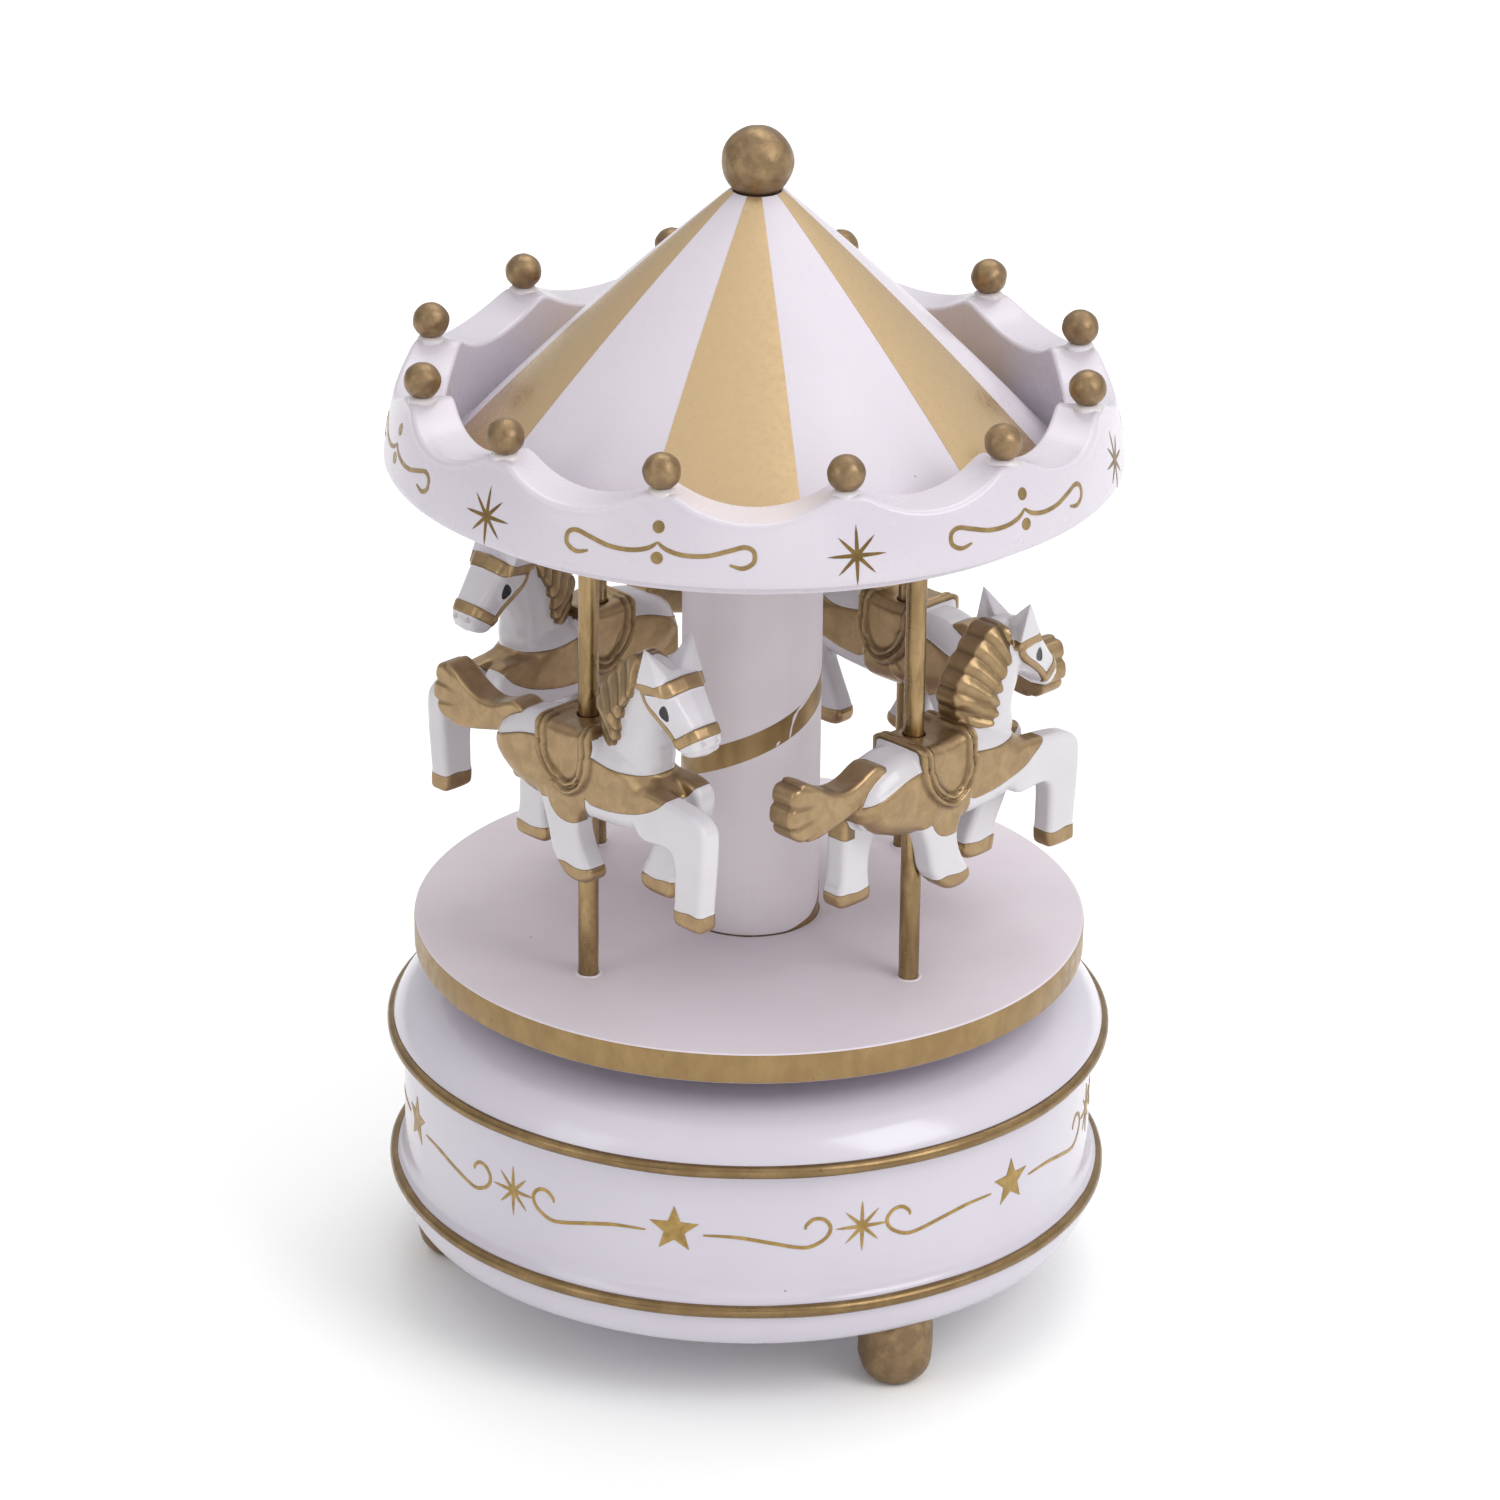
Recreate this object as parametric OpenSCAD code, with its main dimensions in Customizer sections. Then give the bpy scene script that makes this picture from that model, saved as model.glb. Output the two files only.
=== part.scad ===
// Carousel music box: a round drum base with a twist-wound movement turns a platform with four horses
// under a scalloped canopy. Millimetres, +Z up, origin on the turning axis at the level the feet stand on.

/* [Base drum] */
// Largest radius of the base, over the upper bead
base_r = 51; // [50:0.5:52]
// Height of the lower edge of the drum above the table
base_low = 10.7; // [10:0.1:11.5]
// Height of the middle of the lower bead
low_bead_z = 17; // [16.5:0.1:17.5]
// Height of the middle of the upper bead
up_bead_z = 38.3; // [38:0.1:38.6]
// Height of the crown of the drum
base_top = 45.2; // [45:0.1:45.6]
// Diameter of a ball foot
foot_d = 10.4; // [9.5:0.1:11]
// Radius of the circle that the feet stand on
foot_circle_r = 41.8; // [41:0.1:42.4]

/* [Turning top] */
// Radius of the turning platform
platform_r = 47; // [46.5:0.1:47.5]
// Height of the upper face of the platform
platform_top = 54.5; // [54.2:0.1:54.8]
// Thickness of the platform
platform_t = 4.5; // [4.2:0.1:4.8]
// Radius of the centre column
column_r = 9.7; // [9.4:0.1:10]
// Radius of the circle of the poles
pole_circle_r = 31.1; // [30.8:0.1:31.4]
// Diameter of a pole
pole_d = 2.8; // [2.6:0.1:3]

/* [Canopy] */
// Height of the lower edge of the canopy ring
ring_low = 122.9; // [122.5:0.1:123.3]
// Outer radius of the lower edge of the canopy ring
ring_r = 50.5; // [50:0.1:50.7]
// Inner radius of the canopy ring
ring_in_r = 41.8; // [41.6:0.1:42]
// Height of the canopy ring at a bead
ring_h = 11.6; // [11.3:0.1:11.9]
// Depth of a scallop
scallop_d = 3.1; // [2.8:0.1:3.4]
// Number of scallops and of crown beads
scallops = 12; // [12]
// Diameter of a crown bead
crown_bead_d = 5.06; // [4.8:0.02:5.2]
// Height of the top of the roof cone
roof_top = 160.6; // [160:0.1:161]
// Diameter of the ball finial
finial_d = 9.8; // [9.6:0.1:10]

/* [Horses] */
// Sideways offset of a horse from its pole, outwards
horse_out = 1.2; // [0.8:0.1:1.6]
// Half width of a horse's barrel
horse_half_w = 4.5; // [4.2:0.1:4.8]

/* [Movement] */
// Height of the axis of the pinned cylinder
cyl_z = 29; // [29]
// Radius of the pinned cylinder
cyl_r = 6.5; // [6.2:0.1:6.8]
// Teeth of the drive gear
drive_teeth = 64; // [64]
// Teeth of the cylinder pinion
pinion_teeth = 16; // [16]
// Teeth of the cylinder wheel
wheel_teeth = 36; // [36]
// Teeth of the governor pinion
gov_pinion_teeth = 12; // [12]
// Teeth of the governor worm wheel
worm_wheel_teeth = 16; // [16]
// Teeth of the comb
comb_teeth = 18; // [18]

/* [Hidden] */
$fn = 96;
eps = 0.01;
fit_gap = 0.05;
run_gap = 0.05;

// drum
bead_r = 0.9;
wall_in_r = 44;
rabbet_r = 45.9;
lip_r = 47.4;
cover_t = 2.5;
waist_r = 48.6;
ceiling_z = 41;
shoulder_r = 40.4;
shoulder_z = 36;
boss_r = 3.4;
boss_circle_r = 41;
boss_h = 8;
foot_angles = [-60, 60, 180];
foot_flat_r = 2.4;

// platform, column and spindle
platform_low = platform_top - platform_t;
deck_t = 2;
deck_low = ring_low - deck_t;
deck_r = 47;
column_in_r = 7.5;
pole_r = pole_d / 2;
pole_sink = 3.5;
pole_angles = [45, 135, 225, 315];
spindle_r = 2;
spindle_low = 20.4;
shoulder_low = 46.9;
hub_low = 48.1;
nut_h = 3.2;

// roof
roof_low = ring_low;
roof_top_r = 3.6;
roof_seat_r = 3.3;
roof_seat_z = 159.6;
roof_cap = 1.6;
roof_base_r = ring_in_r - 0.1;
roof_bulge = 0.7;
roof_wall = 1.6;
finial_z = 164.5;
ring_top_r = 48.3;
scallop_cut_r = 18.5;
crown_bead_circle_r = 46.1;
crown_bead_z = 137.1;
stub_r = 0.9;

// movement: the drive gear lies flat, the cylinder lies along +X above it
gear_module = 0.6;
drive_r = drive_teeth * gear_module / 2;
pinion_r = pinion_teeth * gear_module / 2;
mesh_z = cyl_z - pinion_r;
fine_module = 0.5;
wheel_r = wheel_teeth * fine_module / 2;
gov_pinion_r = gov_pinion_teeth * fine_module / 2;
gov_y = wheel_r + gov_pinion_r + 0.2;
worm_wheel_r = worm_wheel_teeth * fine_module / 2;
worm_core_r = 1.5;
worm_depth = 0.45;
worm_x = 33.75;
worm_y = gov_y + worm_wheel_r + worm_core_r + 0.2;
worm_low = 22.5;
worm_turns = 5;
worm_pitch = PI * fine_module;
fan_r = 3.8;
fan_low = 34.4;
fan_h = 3.6;
fan_t = 0.5;
plate_low = 39;
plate_r = 31;
screw_r = 1.25;
screw_head_r = 2.3;
screw_circle_r = 27;
screw_angles = [60, 180, 300];
housing_r = 17;
housing_low = 25.6;
arbor_r = 0.8;
cyl_start = 23;
cyl_len = 14;
post_in_x = 21;
post_out_x = 39.8;
post_t = 1.4;
comb_tip_y = -7.5;
comb_end_y = -22;
comb_root_y = -15;
comb_t = 0.9;
comb_screw_x = [cyl_start + 3, cyl_start + 11];
comb_screw_y = comb_end_y + 3.2;
bearing_drop = 2.2;
gov_post_x = 30.6;
bracket_x = 31.5;
bracket_w = 4.5;
bracket_t = 1.5;
wing_w = 48;
wing_reach = 44;
wing_r = 43.5;

white = [0.92, 0.9, 0.95];
gilt = [0.62, 0.5, 0.28];
pale_gilt = [0.82, 0.7, 0.46];
steel = [0.7, 0.7, 0.72];
brass = [0.78, 0.63, 0.3];
zinc = [0.6, 0.6, 0.62];

function arc(cx, cy, rx, ry, a0, a1, n = 16) =
    [for (i = [0:n]) let (a = a0 + (a1 - a0) * i / n) [cx + rx * cos(a), cy + ry * sin(a)]];

// circle arc from p to q that stands h proud of the chord, on its left
function bow(p, q, h, n = 20) =
    [for (i = [0:n]) let (t = i / n, d = q - p, m = 4 * h * t * (1 - t) / norm(d))
        p + t * d + m * [-d[1], d[0]]];

module ring_of(count, radius, turn = 0) {
    for (i = [0:count - 1])
        rotate([0, 0, turn + i * 360 / count])
            translate([radius, 0, 0])
                children();
}

module at_angles(angles, radius) {
    for (a = angles)
        rotate([0, 0, a])
            translate([radius, 0, 0])
                children();
}

// ---- base drum ----

function drum_outline() = concat(
    [[rabbet_r, base_low], [lip_r - 0.6, base_low]],
    arc(lip_r - 0.6, base_low + 5.4, 2.9, 5.4, -80, 0, 10),
    [[49.7, low_bead_z - bead_r], [49.7, low_bead_z + bead_r]],
    arc(waist_r + 1.1, low_bead_z + bead_r + 2.6, 1.1, 2.6, 270, 180, 8),
    [[waist_r, up_bead_z - 1.6], [waist_r + 0.2, up_bead_z - 0.7], [49.9, up_bead_z - 0.7], [49.9, up_bead_z + 0.9]],
    arc(shoulder_r, shoulder_z, 10.3, base_top - shoulder_z, 21, 90, 14),
    [[0, base_top], [0, ceiling_z], [wall_in_r, ceiling_z], [wall_in_r, base_low + cover_t],
        [rabbet_r, base_low + cover_t]]);

module base_body() {
    color(white) difference() {
        union() {
            rotate_extrude() polygon(drum_outline());
            intersection() {
                at_angles(pole_angles, boss_circle_r)
                    translate([0, 0, base_low + cover_t]) cylinder(r = boss_r, h = boss_h);
                cylinder(r = wall_in_r + 1, h = 40);
            }
        }
        translate([0, 0, ceiling_z - 1]) cylinder(r = 4 + fit_gap, h = 8);
        at_angles(screw_angles, screw_circle_r)
            translate([0, 0, ceiling_z - 1]) cylinder(r = screw_r + fit_gap, h = 4.3);
        at_angles(pole_angles, boss_circle_r)
            translate([0, 0, base_low]) cylinder(r = screw_r + fit_gap, h = 8.5);
        rotate_extrude() translate([base_r - bead_r, up_bead_z]) circle(r = bead_r, $fn = 32);
        rotate_extrude() translate([base_r - 0.2 - bead_r, low_bead_z]) circle(r = bead_r, $fn = 32);
    }
}

module bead_hoop(radius, z) {
    color(gilt) rotate_extrude() translate([radius - bead_r, z]) circle(r = bead_r, $fn = 32);
}

module upper_bead() { bead_hoop(base_r, up_bead_z); }
module lower_bead() { bead_hoop(base_r - 0.2, low_bead_z); }

module feet() {
    color(gilt) at_angles(foot_angles, foot_circle_r)
        rotate_extrude() polygon(concat(
            [[0, 0]],
            arc(foot_flat_r, 4.6, foot_d / 2 - foot_flat_r, 4.6, -90, 0, 10),
            arc(foot_d / 2 - 2.2, 7.6, 2.2, base_low - 7.6, 0, 90, 8),
            [[0, base_low]]));
}

module bottom_cover() {
    color(white) difference() {
        translate([0, 0, base_low]) cylinder(r = rabbet_r - 0.1, h = cover_t);
        at_angles(pole_angles, boss_circle_r) translate([0, 0, base_low - 1]) {
            cylinder(r = screw_r + fit_gap, h = 5);
            cylinder(r = screw_head_r + 0.1, h = 2.2);
        }
    }
}

// slotted screw that points up, its head's underside at head_z
module screw(head_z, head_h, shank_h) {
    translate([0, 0, head_z]) {
        difference() {
            cylinder(r = screw_head_r, h = head_h);
            translate([-3, -0.25, -1]) cube([6, 0.5, 1.5]);
        }
        translate([0, 0, head_h - eps]) cylinder(r = screw_r, h = shank_h);
    }
}

module cover_screws() {
    color(steel) at_angles(pole_angles, boss_circle_r) screw(base_low, 1.2, 7);
}

module top_bushing() {
    color(brass) difference() {
        union() {
            translate([0, 0, ceiling_z]) cylinder(r = 4, h = base_top - ceiling_z + eps);
            translate([0, 0, base_top]) cylinder(r = 6.5, h = 1.2);
        }
        translate([0, 0, ceiling_z - 1]) cylinder(r = spindle_r + run_gap, h = 10);
    }
}

// ---- movement ----

// bearing post that hangs from the bedplate to drop below the cylinder's axis
module post(x, y, w, drop) {
    translate([x, y, cyl_z - drop]) cube([post_t, w, plate_low - cyl_z + drop + 0.1]);
}

module movement_bedplate() {
    color(zinc) difference() {
        union() {
            translate([0, 0, plate_low]) linear_extrude(2) union() {
                circle(r = plate_r);
                intersection() {
                    circle(r = wing_r);
                    translate([0, -wing_w / 2]) square([wing_reach, wing_w]);
                }
            }
            post(post_in_x, -4, 8, bearing_drop);
            post(post_out_x, -4, 17.8, bearing_drop);
            post(gov_post_x, gov_y - 2, 4, 2);
            translate([bracket_x, worm_y + 4.2, worm_low])
                cube([bracket_w, bracket_t + 0.2, plate_low - worm_low + eps]);
            translate([bracket_x, worm_y - 2, worm_low]) cube([bracket_w, 7, bracket_t]);
            translate([cyl_start - 0.5, comb_end_y, cyl_z + 0.5])
                cube([cyl_len + 0.5, 6.4, plate_low - cyl_z - 0.4]);
        }
        translate([0, 0, plate_low - 1]) cylinder(r = 3.2, h = 5);
        at_angles(screw_angles, screw_circle_r)
            translate([0, 0, plate_low - 1]) cylinder(r = screw_r + fit_gap, h = 5);
        translate([post_in_x - 1, 0, cyl_z]) rotate([0, 90, 0]) cylinder(r = arbor_r + run_gap, h = 25);
        translate([gov_post_x - 0.6, gov_y, cyl_z]) rotate([0, 90, 0]) cylinder(r = arbor_r + run_gap, h = 14);
        translate([worm_x, worm_y, worm_low - 1]) cylinder(r = arbor_r + run_gap, h = 20);
        for (x = comb_screw_x)
            translate([x, comb_screw_y, cyl_z]) cylinder(r = screw_r + fit_gap, h = 6);
    }
}

module bedplate_screws() {
    color(steel) at_angles(screw_angles, screw_circle_r) screw(plate_low - 1.2, 1.2, 4.8);
}

module spring_housing() {
    color(brass) difference() {
        translate([0, 0, housing_low]) cylinder(r = housing_r, h = plate_low - housing_low);
        translate([0, 0, housing_low + 1]) cylinder(r = housing_r - 1, h = 20);
        translate([0, 0, housing_low - 1]) cylinder(r = spindle_r + 0.6, h = 3);
    }
}

module mainspring() {
    turns = 5;
    steps = 20;
    count = turns * steps;
    strip = 0.6;
    r0 = spindle_r + 1;
    r1 = housing_r - 1.9;
    function coil(i, off) = let (r = r0 + (r1 - r0) * i / count + off, a = 360 * i / steps)
        [r * cos(a), r * sin(a)];
    color(steel) translate([0, 0, housing_low + 1.3]) linear_extrude(plate_low - housing_low - 1.8)
        polygon(concat([for (i = [0:count]) coil(i, 0)], [for (i = [count:-1:0]) coil(i, strip)]));
}

module comb() {
    pitch = 0.76;
    first = cyl_start + cyl_len / 2 - comb_teeth * pitch / 2;
    color(steel) difference() {
        translate([first, comb_end_y, cyl_z - 0.4])
            cube([comb_teeth * pitch, comb_tip_y - comb_end_y, comb_t]);
        for (i = [1:comb_teeth - 1])
            translate([first + i * pitch - 0.1, comb_root_y, cyl_z - 1]) cube([0.2, 9, 2]);
        for (x = comb_screw_x)
            translate([x, comb_screw_y, cyl_z - 1]) cylinder(r = screw_r + fit_gap, h = 2);
    }
}

module comb_screws() {
    color(brass) for (x = comb_screw_x)
        translate([x, comb_screw_y, 0]) screw(cyl_z - 1.6, 1.2, 5.4);
}

module spindle() {
    color(steel) {
        translate([0, 0, spindle_low]) cylinder(r = spindle_r, h = platform_top + 6 - spindle_low);
        translate([0, 0, shoulder_low]) cylinder(r = 4.5, h = hub_low - shoulder_low);
    }
}

// a tooth that stands along +Z over a pitch line at z = 0
module tooth(half_w, above, below, length) {
    slope = tan(20);
    rotate([90, 0, 90]) linear_extrude(length) polygon([
        [half_w + below * slope, -below], [half_w - above * slope, above],
        [-half_w + above * slope, above], [-half_w - below * slope, -below]]);
}

module drive_gear() {
    color(brass) difference() {
        union() {
            translate([0, 0, spindle_low + 0.9]) cylinder(r = drive_r + 1.6, h = mesh_z - 0.7 - spindle_low - 0.9);
            translate([0, 0, spindle_low + 0.9]) cylinder(r = 5, h = 4);
            for (i = [0:drive_teeth - 1])
                rotate([0, 0, (i + 0.5) * 360 / drive_teeth])
                    translate([drive_r - 1.2, 0, mesh_z]) tooth(0.4, 0.5, 0.75, 2.6);
        }
        translate([0, 0, spindle_low]) cylinder(r = spindle_r + fit_gap, h = 8);
        ring_of(5, 11) translate([0, 0, spindle_low]) cylinder(r = 3, h = 8);
    }
}

module retaining_clip() {
    color(steel) difference() {
        translate([0, 0, spindle_low + 0.1]) cylinder(r = 3.4, h = 0.8);
        translate([0, 0, spindle_low]) cylinder(r = spindle_r, h = 2);
    }
}

// spur gear on the X axis, its first tooth at the angle turn from +Y towards +Z
module spur(teeth, pitch_r, half_w, above, below, width, turn = 0, bore = arbor_r) {
    rotate([0, 90, 0]) difference() {
        union() {
            cylinder(r = pitch_r - below, h = width);
            for (i = [0:teeth - 1])
                rotate([0, 0, 90 + turn + i * 360 / teeth])
                    linear_extrude(width) polygon([
                        [pitch_r - below - 0.1, -half_w - below * tan(20)],
                        [pitch_r + above, -half_w + above * tan(20)],
                        [pitch_r + above, half_w - above * tan(20)],
                        [pitch_r - below - 0.1, half_w + below * tan(20)]]);
        }
        translate([0, 0, -1]) cylinder(r = bore, h = width + 2);
    }
}

module pinned_cylinder() {
    pins = 40;
    color(brass) translate([cyl_start, 0, cyl_z]) rotate([0, 90, 0]) difference() {
        union() {
            cylinder(r = cyl_r, h = cyl_len);
            for (i = [0:pins - 1])
                translate([0, 0, 0.7 + 0.76 * ((i * 7) % comb_teeth) ])
                    rotate([0, 90, i * 360 / pins + 4.5])
                        cylinder(r = 0.2, h = cyl_r + 0.6, $fn = 16);
        }
        translate([0, 0, -1]) cylinder(r = arbor_r, h = cyl_len + 2);
    }
}

module cylinder_arbor() {
    color(steel) translate([post_in_x - 3, 0, cyl_z]) rotate([0, 90, 0])
        cylinder(r = arbor_r, h = post_out_x + post_t + 0.5 - post_in_x + 3);
}

module cylinder_pinion() {
    color(steel) translate([drive_r - 1, 0, cyl_z])
        spur(pinion_teeth, pinion_r, 0.4, 0.5, 0.75, 2.4, 0);
}

module cylinder_wheel() {
    color(brass) translate([cyl_start + cyl_len + 0.6, 0, cyl_z])
        spur(wheel_teeth, wheel_r, 0.33, 0.45, 0.6, 1.4, 0);
}

module governor_pinion() {
    color(steel) translate([cyl_start + cyl_len + 0.6, gov_y, cyl_z])
        spur(gov_pinion_teeth, gov_pinion_r, 0.33, 0.45, 0.6, 1.4, 15);
}

module governor_wheel() {
    color(brass) translate([worm_x - 0.75, gov_y, cyl_z])
        spur(worm_wheel_teeth, worm_wheel_r, 0.33, 0.4, 0.6, 1.5, 0);
}

module governor_arbor() {
    color(steel) translate([gov_post_x - 0.3, gov_y, cyl_z]) rotate([0, 90, 0])
        cylinder(r = arbor_r, h = post_out_x + post_t + 0.6 - gov_post_x);
}

// single-start worm: a round bar whose section stands off the axis and winds up it
module governor_worm() {
    thread_h = worm_turns * worm_pitch;
    color(steel) translate([worm_x, worm_y, 0]) {
        translate([0, 0, worm_low + 0.2]) cylinder(r = arbor_r, h = plate_low + 0.6 - worm_low);
        translate([0, 0, cyl_z - thread_h / 2])
            linear_extrude(thread_h, twist = -360 * worm_turns, slices = 16 * worm_turns, $fn = 16)
                translate([0, -worm_depth]) circle(r = worm_core_r, $fn = 16);
    }
}

module air_brake() {
    color(brass) translate([worm_x, worm_y, fan_low]) difference() {
        union() {
            cylinder(r = 1.5, h = fan_h);
            translate([-fan_r, -fan_t / 2, 0]) cube([2 * fan_r, fan_t, fan_h]);
        }
        translate([0, 0, -1]) cylinder(r = arbor_r, h = fan_h + 2);
    }
}

// ---- turning top ----

module platform() {
    color(white) difference() {
        union() {
            translate([0, 0, platform_low]) cylinder(r = platform_r, h = platform_t);
            translate([0, 0, hub_low]) cylinder(r = 9, h = platform_low - hub_low + eps);
        }
        translate([0, 0, hub_low - 1]) cylinder(r = spindle_r + fit_gap, h = 12);
        at_angles(pole_angles, pole_circle_r)
            translate([0, 0, platform_top - pole_sink]) cylinder(r = pole_r + fit_gap, h = 8);
    }
}

module spindle_nut() {
    color(steel) difference() {
        translate([0, 0, platform_top]) cylinder(r = 4.6, h = nut_h, $fn = 6);
        cylinder(r = spindle_r, h = 80);
    }
}

module column() {
    color(white) difference() {
        translate([0, 0, platform_top]) cylinder(r = column_r, h = deck_low - platform_top);
        translate([0, 0, platform_top - 1]) cylinder(r = column_in_r, h = 80);
    }
}

module pole(i) {
    color(gilt) at_angles([pole_angles[i]], pole_circle_r)
        translate([0, 0, platform_top - pole_sink])
            cylinder(r = pole_r, h = deck_low + 1.4 - platform_top + pole_sink);
}

module canopy_deck() {
    color(white) difference() {
        translate([0, 0, deck_low]) cylinder(r = deck_r, h = deck_t);
        at_angles(pole_angles, pole_circle_r)
            translate([0, 0, deck_low - 1]) cylinder(r = pole_r + fit_gap, h = 2.5);
    }
}

module canopy_ring() {
    top = ring_low + ring_h;
    edge = 0.9;
    color(white) difference() {
        rotate_extrude($fn = 144) polygon(concat(
            [[ring_in_r, ring_low], [ring_r - 0.4, ring_low], [ring_r, ring_low + 0.4]],
            bow([ring_r, ring_low + 0.4], [ring_top_r, top - edge], -0.35, 8),
            arc(ring_top_r - edge, top - edge, edge, edge, 0, 90, 6),
            [[ring_in_r, top]]));
        for (i = [0:scallops - 1])
            rotate([0, 0, i * 360 / scallops])
                translate([ring_in_r - 4, 0, top + scallop_cut_r - scallop_d])
                    rotate([0, 90, 0]) cylinder(r = scallop_cut_r, h = 14);
    }
}

module crown_beads() {
    peak = ring_low + ring_h;
    color(gilt) ring_of(scallops, crown_bead_circle_r, 180 / scallops) {
        translate([0, 0, crown_bead_z]) sphere(r = crown_bead_d / 2, $fn = 48);
        translate([0, 0, peak]) cylinder(r = stub_r, h = crown_bead_z - peak);
    }
}

module roof_cone() {
    low = [roof_base_r, roof_low];
    high = [roof_top_r, roof_top];
    inner_low = [roof_base_r - roof_wall * 1.4, roof_low];
    inner_high = [roof_top_r + 0.4, roof_seat_z - roof_cap];
    color(pale_gilt) rotate_extrude($fn = 144) polygon(concat(
        [[0, roof_seat_z - roof_cap], [0, roof_seat_z], [roof_seat_r, roof_seat_z], [roof_seat_r, roof_top]],
        bow(high, low, roof_bulge),
        bow(inner_low, inner_high, -roof_bulge)));
}

module finial() {
    pin_r = 1.8;
    color(gilt) {
        translate([0, 0, finial_z]) sphere(r = finial_d / 2);
        translate([0, 0, roof_seat_z]) cylinder(r = pin_r, h = finial_z - roof_seat_z);
    }
}

// ---- horse: faces +X, its pole on the Z axis, its left side towards +Y ----

module ball(p, r, flat = 1) {
    translate(p) scale([1, flat, 1]) sphere(r = r, $fn = 16);
}

module chain(points, radii, flat = 1) {
    for (i = [0:len(points) - 2]) hull() {
        ball(points[i], radii[i], flat);
        ball(points[i + 1], radii[i + 1], flat);
    }
}

module hoof(p, turn) {
    translate(p) rotate([0, turn, 0]) hull() {
        translate([-2, -1.7, 0]) cube([4.6, 3.4, 0.6]);
        translate([-1.5, -1.5, 2.4]) cube([3.2, 3, 0.6]);
    }
}

module horse_shape() {
    slim = horse_half_w / 7.4;
    side = 2.8;
    difference() {
        translate([0, -horse_out, 0]) {
            hull() {
                ball([-9.5, 0, 83.4], 6.7, slim);
                ball([0, 0, 82.4], 7.4, slim);
                ball([12.5, 0, 83.4], 7, slim);
            }
            chain([[11.5, 0, 85.5], [13.6, 0, 93], [15.6, 0, 99]], [6, 4.8, 4], 0.72);
            chain([[16.2, 0, 100], [20.5, 0, 96.8], [23.4, 0, 94]], [3.7, 2.9, 2.3], 0.85);
            for (s = [-1, 1])
                chain([[15, s * 1.8, 102.2], [15.7, s * 4, 107.6]], [1.5, 0.5]);
            chain([[8.2, 0, 91.5], [10.2, 0, 97.5], [13, 0, 103]], [3.4, 3, 1.8], 0.9);
            chain([[-14.5, 0, 87], [-19, 0, 88.2], [-24.2, 0, 89]], [2, 2.4, 2.6], 0.8);
            hull() {
                translate([-7.5, -4.6, 84]) cube([12, 9.2, 2]);
                translate([-7, -3, 90.5]) cube([11, 6, 1.2]);
            }
            chain([[15, -side, 82.5], [26, -side, 82.6], [25.2, -side, 72.6]], [3.4, 2, 1.6]);
            hoof([24.9, -side, 70], 0);
            chain([[15, side, 82.5], [24.5, side, 81], [15, side, 72.6]], [3.4, 2, 1.5]);
            hoof([13.2, side, 70.6], 40);
            chain([[-8.5, -side, 82], [-4.5, -side, 76.5], [2.6, -side, 73]], [4.6, 2.8, 1.6]);
            hoof([3.4, -side, 70.2], 0);
            chain([[-9.5, side, 82], [-9, side, 76.5], [-11.6, side, 73]], [4.6, 2.6, 1.6]);
            hoof([-12, side, 70.4], 0);
        }
        cylinder(r = pole_r + 0.1, h = 120, $fn = 32);
    }
}

module horse(i) {
    color(white) at_angles([pole_angles[i]], pole_circle_r)
        rotate([0, 0, 90]) horse_shape();
}

base_body();
upper_bead();
lower_bead();
feet();
bottom_cover();
cover_screws();
top_bushing();
movement_bedplate();
bedplate_screws();
spring_housing();
mainspring();
comb();
comb_screws();
spindle();
drive_gear();
retaining_clip();
pinned_cylinder();
cylinder_arbor();
cylinder_pinion();
cylinder_wheel();
governor_wheel();
governor_pinion();
governor_arbor();
governor_worm();
air_brake();
platform();
spindle_nut();
column();
pole(0);  // pole_1
pole(1);  // pole_2
pole(2);  // pole_3
pole(3);  // pole_4
horse(0);  // horse_1
horse(1);  // horse_2
horse(2);  // horse_3
horse(3);  // horse_4
canopy_deck();
canopy_ring();
crown_beads();
roof_cone();
finial();
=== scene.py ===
import math

import bpy
import numpy as np
from mathutils import Matrix, Vector


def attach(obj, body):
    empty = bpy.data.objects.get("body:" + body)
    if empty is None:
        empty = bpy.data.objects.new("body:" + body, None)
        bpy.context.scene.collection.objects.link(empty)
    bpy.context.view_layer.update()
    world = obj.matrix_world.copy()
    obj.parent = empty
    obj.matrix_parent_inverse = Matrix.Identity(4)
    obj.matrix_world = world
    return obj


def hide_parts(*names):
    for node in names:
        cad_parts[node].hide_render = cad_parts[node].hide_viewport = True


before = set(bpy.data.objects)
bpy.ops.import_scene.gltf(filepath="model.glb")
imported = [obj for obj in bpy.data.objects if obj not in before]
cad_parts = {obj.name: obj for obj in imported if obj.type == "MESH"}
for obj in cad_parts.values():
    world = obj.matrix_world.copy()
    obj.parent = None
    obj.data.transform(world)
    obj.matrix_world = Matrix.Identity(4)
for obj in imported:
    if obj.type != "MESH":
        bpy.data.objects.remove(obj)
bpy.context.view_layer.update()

# A carousel music box. Sizes are in mm, and in metres for the camera, the lights and the shaders.
# +Z is up, the origin is on the table under the middle of the base, and the front is towards -Y.
MM = 0.001


# ---------------- camera, light and floor

scene = bpy.context.scene
scene.view_settings.view_transform = "Standard"


def link(obj):
    scene.collection.objects.link(obj)
    return obj


def aim(obj, target, roll=0.0):
    turn = (Vector(target) - obj.location).to_track_quat("-Z", "Y").to_matrix()
    obj.rotation_euler = (turn @ Matrix.Rotation(math.radians(roll), 3, "Z")).to_euler()


CAMERA_TARGET = (-0.00013, 0.0, 0.07855)
CAMERA_DISTANCE = 0.91243
CAMERA_ELEVATION = math.radians(23.506)
CAMERA_ROLL = 0.645
CAMERA_LENS = 157.5

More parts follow.
